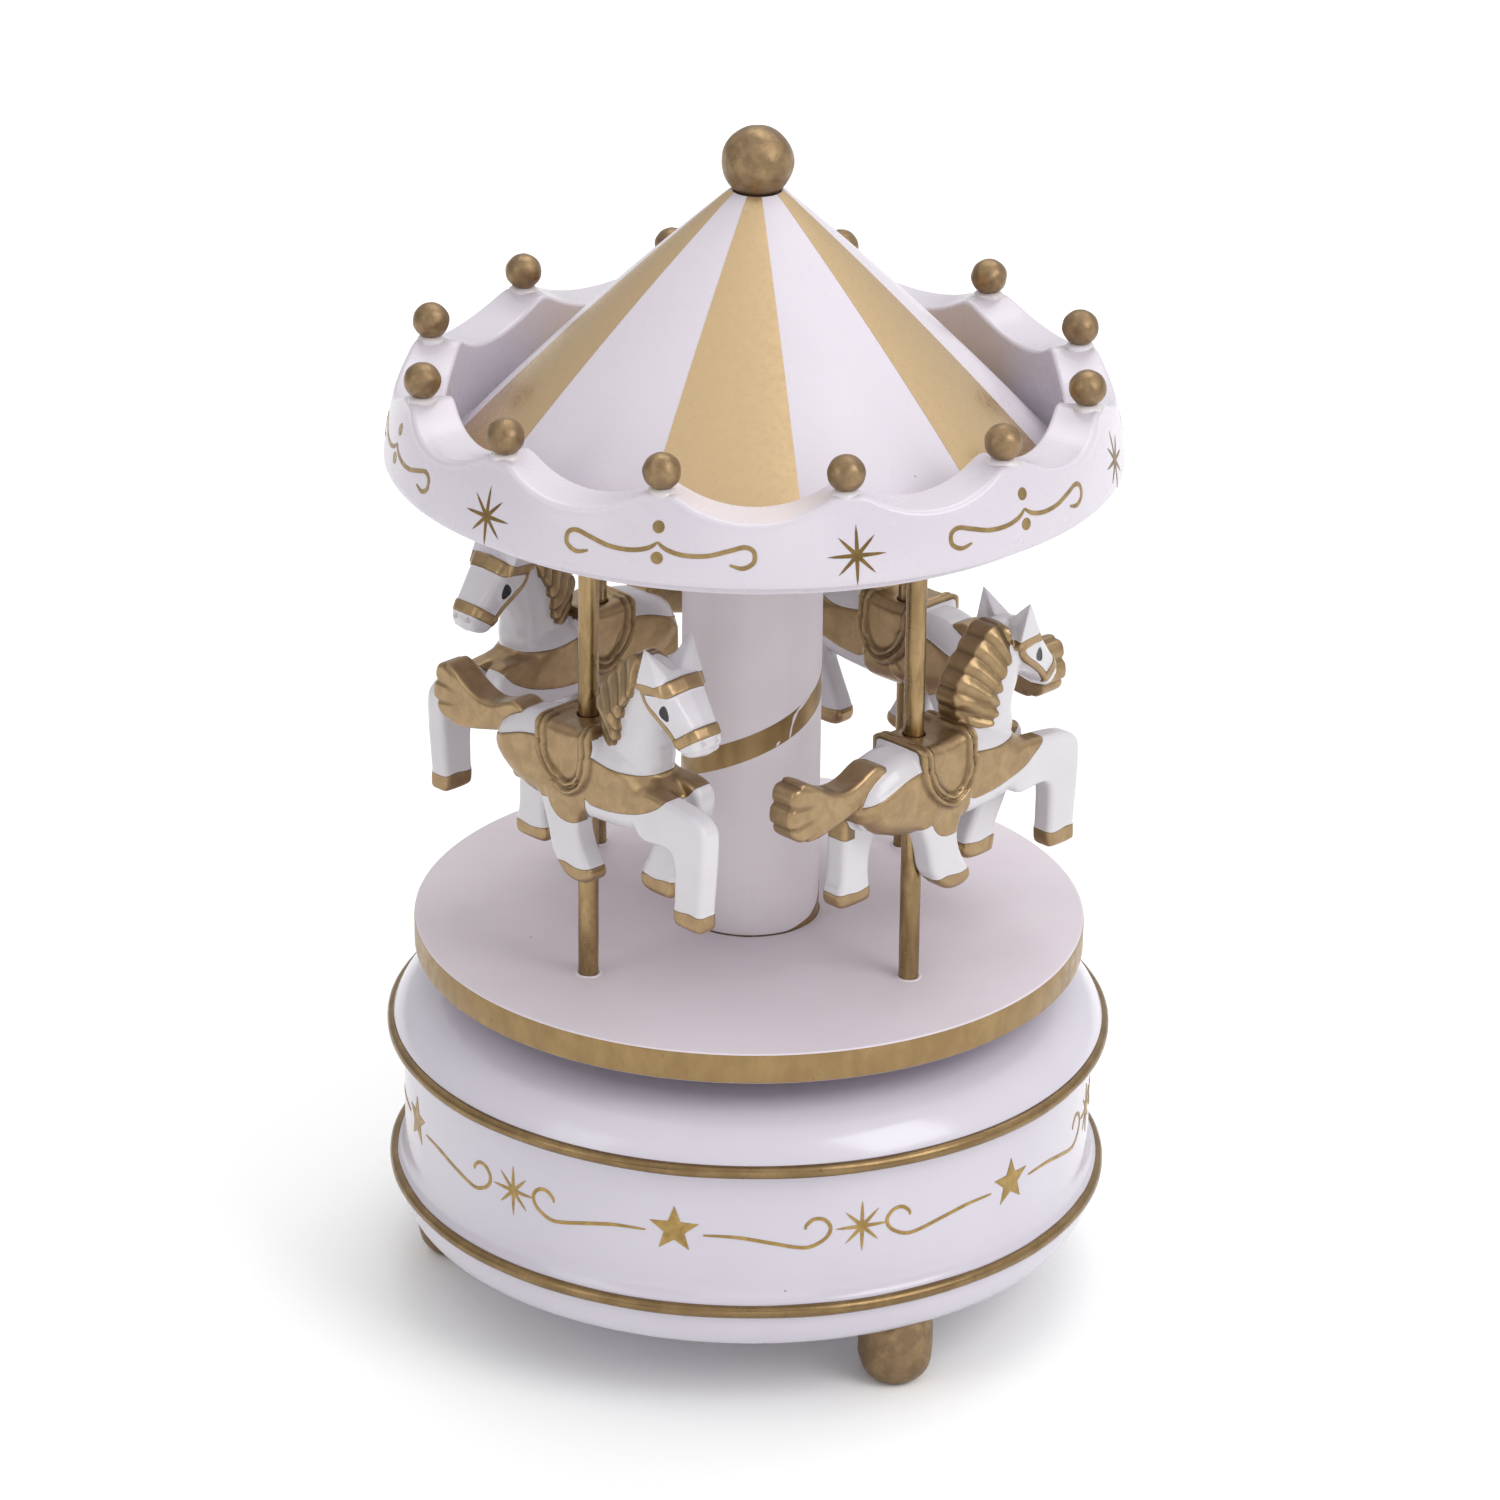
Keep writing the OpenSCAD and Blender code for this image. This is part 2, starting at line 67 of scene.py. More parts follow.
camera_data = bpy.data.cameras.new("camera")
camera_data.lens = CAMERA_LENS
camera_data.clip_start = 0.05
camera = link(bpy.data.objects.new("camera", camera_data))
camera.location = (
    CAMERA_TARGET[0],
    -CAMERA_DISTANCE * math.cos(CAMERA_ELEVATION),
    CAMERA_TARGET[2] + CAMERA_DISTANCE * math.sin(CAMERA_ELEVATION),
)
aim(camera, CAMERA_TARGET, CAMERA_ROLL)
scene.camera = camera

LIT_POINT = (0, 0, 0.09)


def area_light(name, location, size, power):
    data = bpy.data.lights.new(name, "AREA")
    data.shape = "RECTANGLE"
    data.size, data.size_y = size
    data.energy = power
    light = link(bpy.data.objects.new(name, data))
    light.location = location
    aim(light, LIT_POINT)


area_light("key_right", (0.9, -0.65, 0.95), (0.7, 0.9), 7.5)
area_light("front_low", (0.1, -1.3, 0.3), (0.9, 0.5), 1.5)
area_light("fill_left", (-1.0, -0.7, 0.55), (0.5, 0.9), 2.2)
area_light("top_back", (0.15, 0.6, 1.3), (1.0, 0.7), 5.0)

SKY_LEAN = (0.16, 0.06, 0.62)
SKY_LEVEL = 0.5


def studio_world():
    """A white surround that is brightest overhead and fades towards the table."""
    world = bpy.data.worlds.new("studio")
    world.use_nodes = True
    tree = world.node_tree
    background = tree.nodes["Background"]
    background.inputs["Color"].default_value = (1, 1, 1, 1)
    direction = tree.nodes.new("ShaderNodeTexCoord")
    lean = tree.nodes.new("ShaderNodeVectorMath")
    lean.operation = "DOT_PRODUCT"
    lean.inputs[1].default_value = SKY_LEAN
    glow = tree.nodes.new("ShaderNodeMath")
    glow.operation = "ADD"
    glow.inputs[1].default_value = SKY_LEVEL
    tree.links.new(direction.outputs["Generated"], lean.inputs[0])
    tree.links.new(lean.outputs["Value"], glow.inputs[0])
    tree.links.new(glow.outputs["Value"], background.inputs["Strength"])
    return world


scene.world = studio_world()


# ---------------- materials

class Shader:
    """A Principled material under construction, with short ways to add procedural detail."""

    def __init__(self, name, colour, roughness, metallic=0.0, **sockets):
        self.material = bpy.data.materials.new(name)
        self.material.use_nodes = True
        self.tree = self.material.node_tree
        self.bsdf = self.tree.nodes["Principled BSDF"]
        self.set("Base Color", colour)
        self.set("Roughness", roughness)
        self.set("Metallic", metallic)
        for socket, value in sockets.items():
            self.set(socket.replace("_", " "), value)
        self.coords = self.node("ShaderNodeTexCoord", {}).outputs["Object"]

    def plug(self, socket, value):
        """Links a socket to another node's output, or sets it to a number or a colour."""
        if isinstance(value, bpy.types.NodeSocket):
            self.tree.links.new(value, socket)
        else:
            socket.default_value = (*value, 1) if socket.type == "RGBA" else value

    def set(self, name, value):
        self.plug(self.bsdf.inputs[name], value)

    def node(self, kind, plugs, **settings):
        made = self.tree.nodes.new(kind)
        for key, value in settings.items():
            setattr(made, key, value)
        for key, value in plugs.items():
            self.plug(made.inputs[key], value)
        return made

    def noise(self, scale, detail=3.0, rough=0.5, stretch=None, distort=0.0):
        at = self.coords
        if stretch:
            at = self.node("ShaderNodeMapping", {"Vector": at, "Scale": stretch}).outputs["Vector"]
        plugs = {"Vector": at, "Scale": scale, "Detail": detail, "Roughness": rough, "Distortion": distort}
        return self.node("ShaderNodeTexNoise", plugs).outputs["Fac"]

    def ramp(self, value, low, high, out_low=0.0, out_high=1.0):
        plugs = {"Value": value, "From Min": low, "From Max": high, "To Min": out_low, "To Max": out_high}
        return self.node("ShaderNodeMapRange", plugs, clamp=True).outputs["Result"]

    def math(self, kind, a, b):
        return self.node("ShaderNodeMath", {0: a, 1: b}, operation=kind).outputs["Value"]

    def attribute(self, name):
        return self.node("ShaderNodeAttribute", {}, attribute_name=name).outputs["Fac"]

    def mix(self, factor, a, b):
        return self.node("ShaderNodeMix", {0: factor, 6: a, 7: b}, data_type="RGBA").outputs[2]

    def specks(self, scale, size, share):
        """1 inside tiny round specks: cells of 1/scale, of which a share holds one speck."""
        cells = self.node("ShaderNodeTexVoronoi", {"Vector": self.coords, "Scale": scale})
        channel = self.node("ShaderNodeSeparateColor", {"Color": cells.outputs["Color"]})
        chosen = self.math("LESS_THAN", channel.outputs["Red"], share)
        wide = self.math("MULTIPLY", channel.outputs["Green"], size * scale)
        inside = self.math("LESS_THAN", cells.outputs["Distance"], wide)
        return self.math("MULTIPLY", chosen, inside)

    def bump(self, height, distance, strength):
        plugs = {"Height": height, "Distance": distance, "Strength": strength}
        self.set("Normal", self.node("ShaderNodeBump", plugs).outputs["Normal"])


def white_paint(name, colour, shade, roughness, speck_share=0.25, brush=None, **sockets):
    """White plastic or paint with faint clouds and dust specks; `brush` stretches its grain."""
    s = Shader(name, colour, roughness, **sockets)
    cloud = s.ramp(s.noise(45, 4), 0.35, 0.7)
    tone = s.mix(cloud, colour, shade)
    if brush:
        streaks = s.ramp(s.noise(260, 3, 0.6, brush), 0.4, 0.75)
        tone = s.mix(s.math("MULTIPLY", streaks, 0.35), tone, shade)
    dust = s.specks(190, 0.00022, speck_share)
    s.set("Base Color", s.mix(s.math("MULTIPLY", dust, 0.65), tone, (0.16, 0.13, 0.12)))
    grain = s.noise(900 if brush else 420, 3, 0.55, brush)
    s.bump(grain, 0.00006 if brush else 0.00003, 0.5)
    s.set("Roughness", s.ramp(s.noise(130, 3), 0.3, 0.7, roughness * 0.8, roughness * 1.25))
    return s.material


def gilt_paint(name, light, dark, roughness, metallic, patch, depth, stretch=None, wear=0.0,
               amount=(0.42, 0.66)):
    """Gold paint in patches of two tones, about 1/patch m across; `wear` darkens small spots."""
    s = Shader(name, light, roughness, metallic)
    patches = s.ramp(s.noise(patch, 6, 0.62, stretch, 0.4), amount[0], amount[1])
    tone = s.mix(patches, dark, light)
    if wear:
        worn = s.ramp(s.noise(patch * 2.6, 4, 0.7, stretch), 0.66, 0.74)
        tone = s.mix(s.math("MULTIPLY", worn, wear), tone, tuple(c * 0.22 for c in dark))
    s.set("Base Color", tone)
    s.set("Roughness", s.ramp(s.noise(patch * 1.7, 4), 0.3, 0.7, roughness * 0.75, roughness * 1.3))
    s.bump(s.noise(patch * 3, 5, 0.6, stretch), depth, 0.6)
    return s.material


def metal(name, colour, roughness, scale=500):
    """Bare metal for the movement, seen only with the base open."""
    s = Shader(name, colour, roughness, 1.0)
    streaks = s.noise(scale, 4, 0.6)
    s.set("Base Color", s.mix(s.ramp(streaks, 0.3, 0.75), tuple(c * 0.7 for c in colour), colour))
    s.set("Roughness", s.ramp(streaks, 0.3, 0.7, roughness * 0.7, roughness * 1.3))
    s.bump(streaks, 0.00002, 0.4)
    return s.material


white_gloss = white_paint("white_gloss", (0.55, 0.52, 0.58), (0.52, 0.49, 0.55), 0.2, 0.05,
                          Coat_Weight=0.25, Coat_Roughness=0.06)
ring_gloss = white_paint("ring_gloss", (0.56, 0.52, 0.575), (0.54, 0.50, 0.555), 0.26, 0.08,
                         Coat_Weight=0.15, Coat_Roughness=0.12)
roof_white = white_paint("roof_white", (0.60, 0.555, 0.61), (0.58, 0.535, 0.59), 0.3, 0.1)
disc_white = white_paint("disc_white", (0.63, 0.565, 0.615), (0.59, 0.53, 0.575), 0.5, 0.5)
column_white = white_paint("column_white", (0.74, 0.69, 0.735), (0.66, 0.61, 0.645), 0.55, 0.2,
                           brush=(1.0, 1.0, 0.05))
glue_white = white_paint("glue_white", (0.66, 0.62, 0.66), (0.56, 0.52, 0.52), 0.25, 0.02)
antique_gilt = gilt_paint("antique_gilt", (0.31, 0.21, 0.11), (0.21, 0.14, 0.075), 0.42, 0.8, 420, 0.0001)
hoop_gilt = gilt_paint("hoop_gilt", (0.27, 0.18, 0.085), (0.2, 0.13, 0.06), 0.3, 0.9, 180, 0.00005,
                       wear=0.5)
band_gilt = gilt_paint("band_gilt", (0.32, 0.215, 0.095), (0.26, 0.17, 0.075), 0.36, 0.8, 260, 0.00003,
                       (1, 1, 0.6), 0.5)
ribbon_gilt = gilt_paint("ribbon_gilt", (0.30, 0.195, 0.085), (0.25, 0.162, 0.07), 0.36, 0.75, 200, 0.00003)
print_gilt = gilt_paint("print_gilt", (0.42, 0.28, 0.09), (0.28, 0.18, 0.055), 0.36, 0.6, 500, 0.00002)
fascia_gilt = gilt_paint("fascia_gilt", (0.34, 0.235, 0.10), (0.23, 0.155, 0.062), 0.36, 0.6, 500, 0.00002)
sparkle_gilt = gilt_paint("sparkle_gilt", (0.21, 0.13, 0.038), (0.14, 0.083, 0.023), 0.36, 0.6, 500, 0.00002)
roof_gilt = gilt_paint("roof_gilt", (0.60, 0.435, 0.25), (0.58, 0.42, 0.24), 0.3, 0.85, 700, 0.000006,
                       amount=(0.3, 0.7))
pole_gilt = gilt_paint("pole_gilt", (0.38, 0.265, 0.13), (0.24, 0.16, 0.075), 0.3, 0.9, 420, 0.00005,
                       (1, 1, 0.22), 0.35)
foot_line_brown = gilt_paint("foot_line_brown", (0.16, 0.105, 0.06), (0.07, 0.045, 0.03), 0.6, 0.2, 500, 0.00005)
steel = metal("steel", (0.5, 0.5, 0.52), 0.28)
brass = metal("brass", (0.62, 0.45, 0.17), 0.3)
zinc = metal("zinc", (0.42, 0.42, 0.43), 0.45, scale=260)


# ---------------- mesh helpers

def piece(name, verts_mm, faces, material, body, slot, replaced=(), sharp=35.0):
    """A visible piece that rides on a body; `replaced` names the CAD nodes that it stands for."""
    mesh = bpy.data.meshes.new(name)
    verts = np.asarray(verts_mm, float) * MM
    if isinstance(faces, np.ndarray):
        mesh.vertices.add(len(verts))
        mesh.vertices.foreach_set("co", verts.ravel())
        mesh.loops.add(faces.size)
        mesh.loops.foreach_set("vertex_index", faces.ravel().astype(np.int32))
        mesh.polygons.add(len(faces))
        mesh.polygons.foreach_set("loop_start", np.arange(0, faces.size, faces.shape[1], dtype=np.int32))
    else:
        mesh.from_pydata(verts.tolist(), [], faces)
    mesh.update(calc_edges=True)
    mesh.validate()
    mesh.polygons.foreach_set("use_smooth", np.ones(len(mesh.polygons), bool))
    mesh.set_sharp_from_angle(angle=math.radians(sharp))
    mesh.materials.append(material)
    obj = link(bpy.data.objects.new(name, mesh))
    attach(obj, body)
    if replaced:
        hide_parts(*replaced)
    return obj


class Build:
    """Vertices and faces gathered from several shapes."""

    def __init__(self):
        self.verts, self.faces = [], []

    def add(self, verts, faces):
        start = len(self.verts)
        self.verts += [tuple(v) for v in verts]
        self.faces += [tuple(start + i for i in f) for f in faces]

    @property
    def mesh(self):
        return self.verts, self.faces


def arc(cx, cz, rx, rz, a0, a1, n):
    """n + 1 points of an ellipse's arc from a0 to a1 degrees."""
    angles = np.radians(np.linspace(a0, a1, n + 1))
    return [(cx + rx * math.cos(a), cz + rz * math.sin(a)) for a in angles]


def bow(p, q, h, n):
    """n + 1 points from p to q along a shallow curve that stands h proud of the straight line."""
    p, q = np.array(p, float), np.array(q, float)
    d = q - p
    left = np.array([-d[1], d[0]]) / np.hypot(*d)
    return [tuple(p + t * d + 4 * h * t * (1 - t) * left) for t in np.linspace(0, 1, n + 1)]


def lathe(profile, count, closed=True, uneven=None, centre=(0, 0)):
    """Turns a profile of (radius, height) about a vertical axis. A closed profile is a loop of points.
    `uneven` adds to the radius at an angle and a height."""
    verts, rows = [], []
    angles = np.linspace(0, 2 * math.pi, count, endpoint=False)
    for r, z in profile:
        if r < 1e-6:
            rows.append([len(verts)] * count)
            verts.append((centre[0], centre[1], z))
            continue
        rows.append(list(range(len(verts), len(verts) + count)))
        for a in angles:
            reach = r + (uneven(a, z) if uneven else 0)
            verts.append((centre[0] + reach * math.cos(a), centre[1] + reach * math.sin(a), z))
    faces = []
    for low, high in zip(rows, rows[1:] + rows[:1] if closed else rows[1:]):
        for i in range(count):
            j = (i + 1) % count
            face = []
            for v in (low[i], low[j], high[j], high[i]):
                if v not in face:
                    face.append(v)
            if len(face) > 2:
                faces.append(tuple(face))
    return verts, faces


def spun(r, a, z):
    return r * math.cos(a), r * math.sin(a), z


def torus_faces(rows, columns):
    """Quads over a grid of points that closes on itself both ways."""
    faces = []
    for i in range(rows):
        for j in range(columns):
            k, m = (i + 1) % rows, (j + 1) % columns
            faces.append((i * columns + j, k * columns + j, k * columns + m, i * columns + m))
    return faces


def hoop(radius, z, r, count=240, around=24):
    """A bead hoop that a hand has smoothed: its thickness and height drift a little."""
    verts = []
    for i in range(count):
        a = 2 * math.pi * i / count
        thick = r * (1 + 0.025 * math.sin(7 * a + z) + 0.02 * math.sin(17 * a))
        drift = 0.05 * math.sin(3 * a + z) + 0.03 * math.sin(11 * a)
        for j in range(around):
            b = 2 * math.pi * j / around
            out = radius - r + thick * math.cos(b) * 0.985
            verts.append(spun(out, a, z + drift + thick * math.sin(b)))
    return verts, torus_faces(count, around)


def polar(radius, degrees):
    return spun(radius, math.radians(degrees), 0)[:2]


def wobble(*waves):
    """Hand-made unevenness of a radius, a sum of waves: mm, waves a turn, radians a mm of height, phase."""
    return lambda a, z: sum(size * math.sin(n * a + rise * z + phase) for size, n, rise, phase in waves)


def front_angle(a):
    """Polar angle in radians of a direction a degrees from the front towards +X."""
    return math.radians(a - 90)


# ---------------- base drum

BASE_R, BEAD_R = 51.0, 0.9
BASE_LOW, BASE_TOP = 10.7, 45.2
LOW_BEAD_Z, UP_BEAD_Z = 17.0, 38.3
WAIST_R, LIP_R = 48.6, 47.4
CEILING_Z, WALL_IN_R, RABBET_R, COVER_T = 41.0, 44.0, 45.9, 2.5
SHOULDER_R, SHOULDER_Z, SHOULDER_BOW = 40.4, 36.0, 10.3
SPINDLE_HOLE_R = 4.05
SCREW_CIRCLE_R, SCREW_POST_R, SCREW_HOLE_R, SCREW_POST_LOW, SCREW_POST_TOP = 40.385, 3.3, 1.3, 13.3, 21.1
FOOT_CIRCLE_R = 41.8

drum_profile = (
    [(RABBET_R, BASE_LOW), (LIP_R - 0.9, BASE_LOW)]
    + arc(LIP_R - 0.6, BASE_LOW + 5.4, 2.9, 5.4, -80, 0, 24)
    + [(49.75, LOW_BEAD_Z - BEAD_R), (49.6, LOW_BEAD_Z), (49.75, LOW_BEAD_Z + BEAD_R)]
    + arc(WAIST_R + 1.1, LOW_BEAD_Z + BEAD_R + 2.6, 1.1, 2.6, 268, 180, 16)
    + [(WAIST_R - 0.03 * math.sin(math.pi * t), 20.5 + t * (UP_BEAD_Z - 22.2))
       for t in (0.2, 0.4, 0.6, 0.8, 1.0)]
    + arc(WAIST_R + 0.9, UP_BEAD_Z - 1.6, 0.9, 0.9, 180, 100, 10)
    + [(49.9, UP_BEAD_Z - 0.6), (49.7, UP_BEAD_Z), (49.9, UP_BEAD_Z + 0.8)]
    + arc(SHOULDER_R, SHOULDER_Z, SHOULDER_BOW, BASE_TOP - SHOULDER_Z, 21, 90, 48)
    + [(30, BASE_TOP), (SPINDLE_HOLE_R, BASE_TOP), (SPINDLE_HOLE_R, CEILING_Z), (WALL_IN_R - 1, CEILING_Z)]
    + arc(WALL_IN_R - 1, CEILING_Z - 1, 1, 1, 90, 0, 4)
    + [(WALL_IN_R, BASE_LOW + COVER_T), (RABBET_R, BASE_LOW + COVER_T)]
)
post_profile = [
    (SCREW_HOLE_R, SCREW_POST_LOW), (SCREW_POST_R, SCREW_POST_LOW), (SCREW_POST_R, SCREW_POST_TOP - 0.5),
    (SCREW_POST_R - 0.4, SCREW_POST_TOP), (SCREW_HOLE_R, SCREW_POST_TOP),
]
base = Build()
base.add(*lathe(drum_profile, 256))
for angle in (45, 135, 225, 315):
    base.add(*lathe(post_profile, 32, centre=polar(SCREW_CIRCLE_R, angle)))
piece("base_shell", *base.mesh, white_gloss, "base", "white_gloss", ["base_body"])
piece("upper_bead_hoop", *hoop(BASE_R, UP_BEAD_Z, BEAD_R), hoop_gilt, "base", "gilt_paint", ["upper_bead"])
piece("lower_bead_hoop", *hoop(BASE_R - 0.2, LOW_BEAD_Z, BEAD_R), hoop_gilt, "base", "gilt_paint",
      ["lower_bead"])

foot_profile = (
    [(0, 0.02)] + arc(2.2, 4.7, 2.95, 4.68, -90, 0, 16) + [(5.19, 6.2)]
    + arc(3.1, 7.5, 2.05, 3.2, 0, 84, 14) + [(0, BASE_LOW)]
)
feet = Build()
for k, angle in enumerate((-60, 60, 180)):
    feet.add(*lathe(foot_profile, 64, closed=False, uneven=wobble((0.05, 3, 1, k), (0.03, 7, -2, 0)),
                    centre=polar(FOOT_CIRCLE_R, angle)))
piece("ball_feet", *feet.mesh, antique_gilt, "base", "gilt_paint", ["feet"])


# ---------------- printed motifs

PRINT_LIFT, PRINT_ROOT = 0.045, -0.03


def wrapped(build, radius_at, front, height, strips):
    """Lays flat closed shapes, in mm across and up, onto a turned wall as a thin raised print.
    Each shape is a strip: two lists of points, one each side, of the same length."""
    for left, right in strips:
        n = len(left)
        verts = []
        for lift in (PRINT_LIFT, PRINT_ROOT):
            for side in (left, right):
                for s, z in side:
                    r = radius_at(height + z) + lift
                    a = front_angle(front) + s / radius_at(height)
                    verts.append(spun(r, a, height + z))
        faces = []
        for i in range(n - 1):
            faces.append((i, i + 1, n + i + 1, n + i))
            faces.append((2 * n + i + 1, 2 * n + i, 3 * n + i, 3 * n + i + 1))
            faces.append((i + 1, i, 2 * n + i, 2 * n + i + 1))
            faces.append((n + i, n + i + 1, 3 * n + i + 1, 3 * n + i))
        faces.append((0, n, 3 * n, 2 * n))
        faces.append((2 * n - 1, n - 1, 3 * n - 1, 4 * n - 1))
        build.add(verts, faces)


def smooth_line(points, per=6):
    """Catmull-Rom line through the points."""
    p = np.array([points[0]] + list(points) + [points[-1]], float)
    out = []
    for i in range(1, len(p) - 2):
        for t in np.linspace(0, 1, per, endpoint=False):
            out.append(0.5 * (2 * p[i] + (p[i + 1] - p[i - 1]) * t
                              + (2 * p[i - 1] - 5 * p[i] + 4 * p[i + 1] - p[i + 2]) * t * t
                              + (3 * p[i] - p[i - 1] - 3 * p[i + 1] + p[i + 2]) * t ** 3))
    out.append(p[-2])
    return np.array(out)


def stroke(points, width, taper=0.35):
    """A drawn line that is thinner at its ends."""
    line = smooth_line(points)
    along = np.gradient(line, axis=0)
    along /= np.linalg.norm(along, axis=1)[:, None]
    side = np.stack([-along[:, 1], along[:, 0]], 1)
    t = np.linspace(0, 1, len(line))
    half = width / 2 * (taper + (1 - taper) * np.clip(np.minimum(t, 1 - t) / 0.12, 0, 1) ** 0.6)
    return (line + side * half[:, None]).tolist(), (line - side * half[:, None]).tolist()


def ray(angle, length, half, steps=5):
    """One pointed ray of a sparkle, from the centre outwards."""
    d = np.array([math.cos(angle), math.sin(angle)])
    e = np.array([-d[1], d[0]])
    left, right = [], []
    for t in np.linspace(0, 1, steps):
        w = half * (1 - t) ** 0.45
        left.append(tuple(d * length * t + e * w))
        right.append(tuple(d * length * t - e * w))
    return left, right


def sparkle(radius, half):
    """Eight rays, every other one a little shorter."""
    return [ray(math.radians(45 * k + 90), radius * (1.0 if k % 2 == 0 else 0.88), half) for k in range(8)]


def star(radius, inner=0.42):
    """A five-pointed star, cut from its centre into ten triangles."""
    tips = [np.array(polar(radius * (inner if k % 2 else 1), 90 + 36 * k)) for k in range(11)]
    ts = np.linspace(0.02, 1, 5)
    return [([tuple(q * t) for t in ts], [tuple(p * t) for t in ts]) for p, q in zip(tips, tips[1:])]


def dot(cx, cz, r):
    a = np.linspace(0.05, math.pi - 0.05, 9)
    return [([(cx + r * math.cos(b), cz + r * math.sin(b)) for b in a],
             [(cx + r * math.cos(b), cz - r * math.sin(b)) for b in a])]


def mirrored(strips):
    return [([(-s, z) for s, z in right], [(-s, z) for s, z in left]) for left, right in strips]


WAIST_PRINT_Z = 28.3
scroll = [stroke([(4.0, -0.5), (8.5, -0.6), (13, -1.4), (16.5, -2.2), (18.6, -2.3), (20.7, -1.2), (21.4, 0.3),
                  (20.6, 1.6), (19.2, 1.9), (18.1, 1.1), (17.9, 0.4)], 0.5)]
waist_print = Build()
for k in range(6):
    front = -11.5 + 60 * k
    for strips, at in ((star(3.6), front), (scroll, front), (mirrored(scroll), front),
                       (sparkle(3.8, 0.3), front + 30.5)):
        wrapped(waist_print, lambda z: WAIST_R, at, WAIST_PRINT_Z, strips)
piece("waist_print", *waist_print.mesh, print_gilt, "base", "gilt_paint")


# ---------------- platform, column and poles

PLATFORM_LOW, PLATFORM_TOP, DISC_R, HUB_R, HUB_LOW, SPINDLE_R = 50.0, 54.5, 46.9, 9.0, 48.1, 2.05
platform_profile = (
    [(SPINDLE_R, HUB_LOW), (HUB_R - 0.3, HUB_LOW), (HUB_R, HUB_LOW + 0.3), (HUB_R, PLATFORM_LOW),
     (DISC_R - 0.4, PLATFORM_LOW)]
    + arc(DISC_R - 0.35, PLATFORM_LOW + 0.35, 0.35, 0.35, -90, 0, 5)
    + arc(DISC_R - 0.3, PLATFORM_TOP - 0.34, 0.34, 0.34, 0, 90, 6)
    + [(30, PLATFORM_TOP), (9.9, PLATFORM_TOP), (SPINDLE_R, PLATFORM_TOP)]
)
piece("platform_disc", *lathe(platform_profile, 256), disc_white, "carousel", "white_matte", ["platform"])

BAND_R = 47.0
band_profile = [
    (BAND_R - 0.3, 50.05), (BAND_R - 0.07, 50.2), (BAND_R, 50.5), (BAND_R, 54.0), (BAND_R - 0.05, 54.28),
    (BAND_R - 0.2, 54.3), (BAND_R - 0.25, 52),
]
piece("platform_gilt_band", *lathe(band_profile, 256), band_gilt, "carousel", "gilt_paint")

COLUMN_R, COLUMN_IN_R, DECK_LOW = 9.7, 7.5, 120.9
column_profile = (
    [(COLUMN_IN_R, PLATFORM_TOP), (COLUMN_R - 0.1, PLATFORM_TOP), (COLUMN_R, PLATFORM_TOP + 0.15)]
    + [(COLUMN_R, z) for z in (65, 80, 95, 110)]
    + [(COLUMN_R, DECK_LOW), (COLUMN_IN_R, DECK_LOW)]
)
piece("column_tube", *lathe(column_profile, 128), column_white, "carousel", "white_matte", ["column"])

# The ribbon's middle: degrees round the column from the front, and height. It starts flat at the foot.
RIBBON_COURSE = ((-335, 52.6), (-300, 53.7), (-285, 54.7), (-60, 78.6), (0, 83.2), (75, 88.85), (215, 99.9))
RIBBON_W, RIBBON_LIFT = 3.6, 0.05


def ribbon_mid(a):
    return float(np.interp(a, [p[0] for p in RIBBON_COURSE], [p[1] for p in RIBBON_COURSE]))


def ribbon_mesh(count=400):
    verts, faces = [], []
    for turn in np.linspace(RIBBON_COURSE[0][0], RIBBON_COURSE[-1][0], count):
        low = max(ribbon_mid(turn) - RIBBON_W / 2, PLATFORM_TOP + 0.02)
        high = max(ribbon_mid(turn) + RIBBON_W / 2, low + 0.02)
        a = front_angle(turn)
        for r in (COLUMN_R + RIBBON_LIFT, COLUMN_R - RIBBON_LIFT):
            verts += [spun(r, a, low), spun(r, a, high)]
    for p in range(0, 4 * (count - 1), 4):
        q = p + 4
        faces += [(p, q, q + 1, p + 1), (p + 3, q + 3, q + 2, p + 2)]
        faces += [(p + 2, q + 2, q, p), (p + 1, q + 1, q + 3, p + 3)]
    return verts, faces + [(0, 1, 3, 2), (q + 2, q + 3, q + 1, q)]


piece("column_ribbon", *ribbon_mesh(), ribbon_gilt, "carousel", "gilt_paint")

# Each scratch: its path in degrees from the front and mm above the ribbon's middle, and its width.
SCRATCHES = (
    (((33, -1.75), (34.5, -0.4), (37.5, 0.9), (41, 1.45), (48, 1.7), (56, 1.85)), 0.42),
    (((21, -1.65), (24, -1.2)), 0.34),
)


def scratch_mesh(path, width, n=19):
    """A thin white chip line on the ribbon, pointed at both ends and a little ragged."""
    t = np.linspace(0, 1, n)
    at = t * (len(path) - 1)
    turn, above = (np.interp(at, range(len(path)), values) for values in zip(*path))
    z = np.array([ribbon_mid(a) for a in turn]) + above
    along, rise = np.gradient(COLUMN_R * np.radians(turn)), np.gradient(z)
    half = width / 2 * (0.3 + 0.7 * np.sin(math.pi * t)) * (1 + 0.3 * np.sin(19 * t)) / np.hypot(along, rise)
    verts = []
    for r in (COLUMN_R + 0.075, COLUMN_R):
        for sign, order in ((1, range(n)), (-1, range(n - 1, -1, -1))):
            for i in order:
                a = front_angle(turn[i] - math.degrees(sign * half[i] * rise[i] / COLUMN_R))
                verts.append(spun(r, a, z[i] + sign * half[i] * along[i]))
    rim = 2 * n
    faces = [(i + 1, i, rim - 1 - i, rim - 2 - i) for i in range(n - 1)]
    faces += [tuple(rim + v for v in face[::-1]) for face in faces]
    faces += [(i, (i + 1) % rim, rim + (i + 1) % rim, rim + i) for i in range(rim)]
    return verts, faces


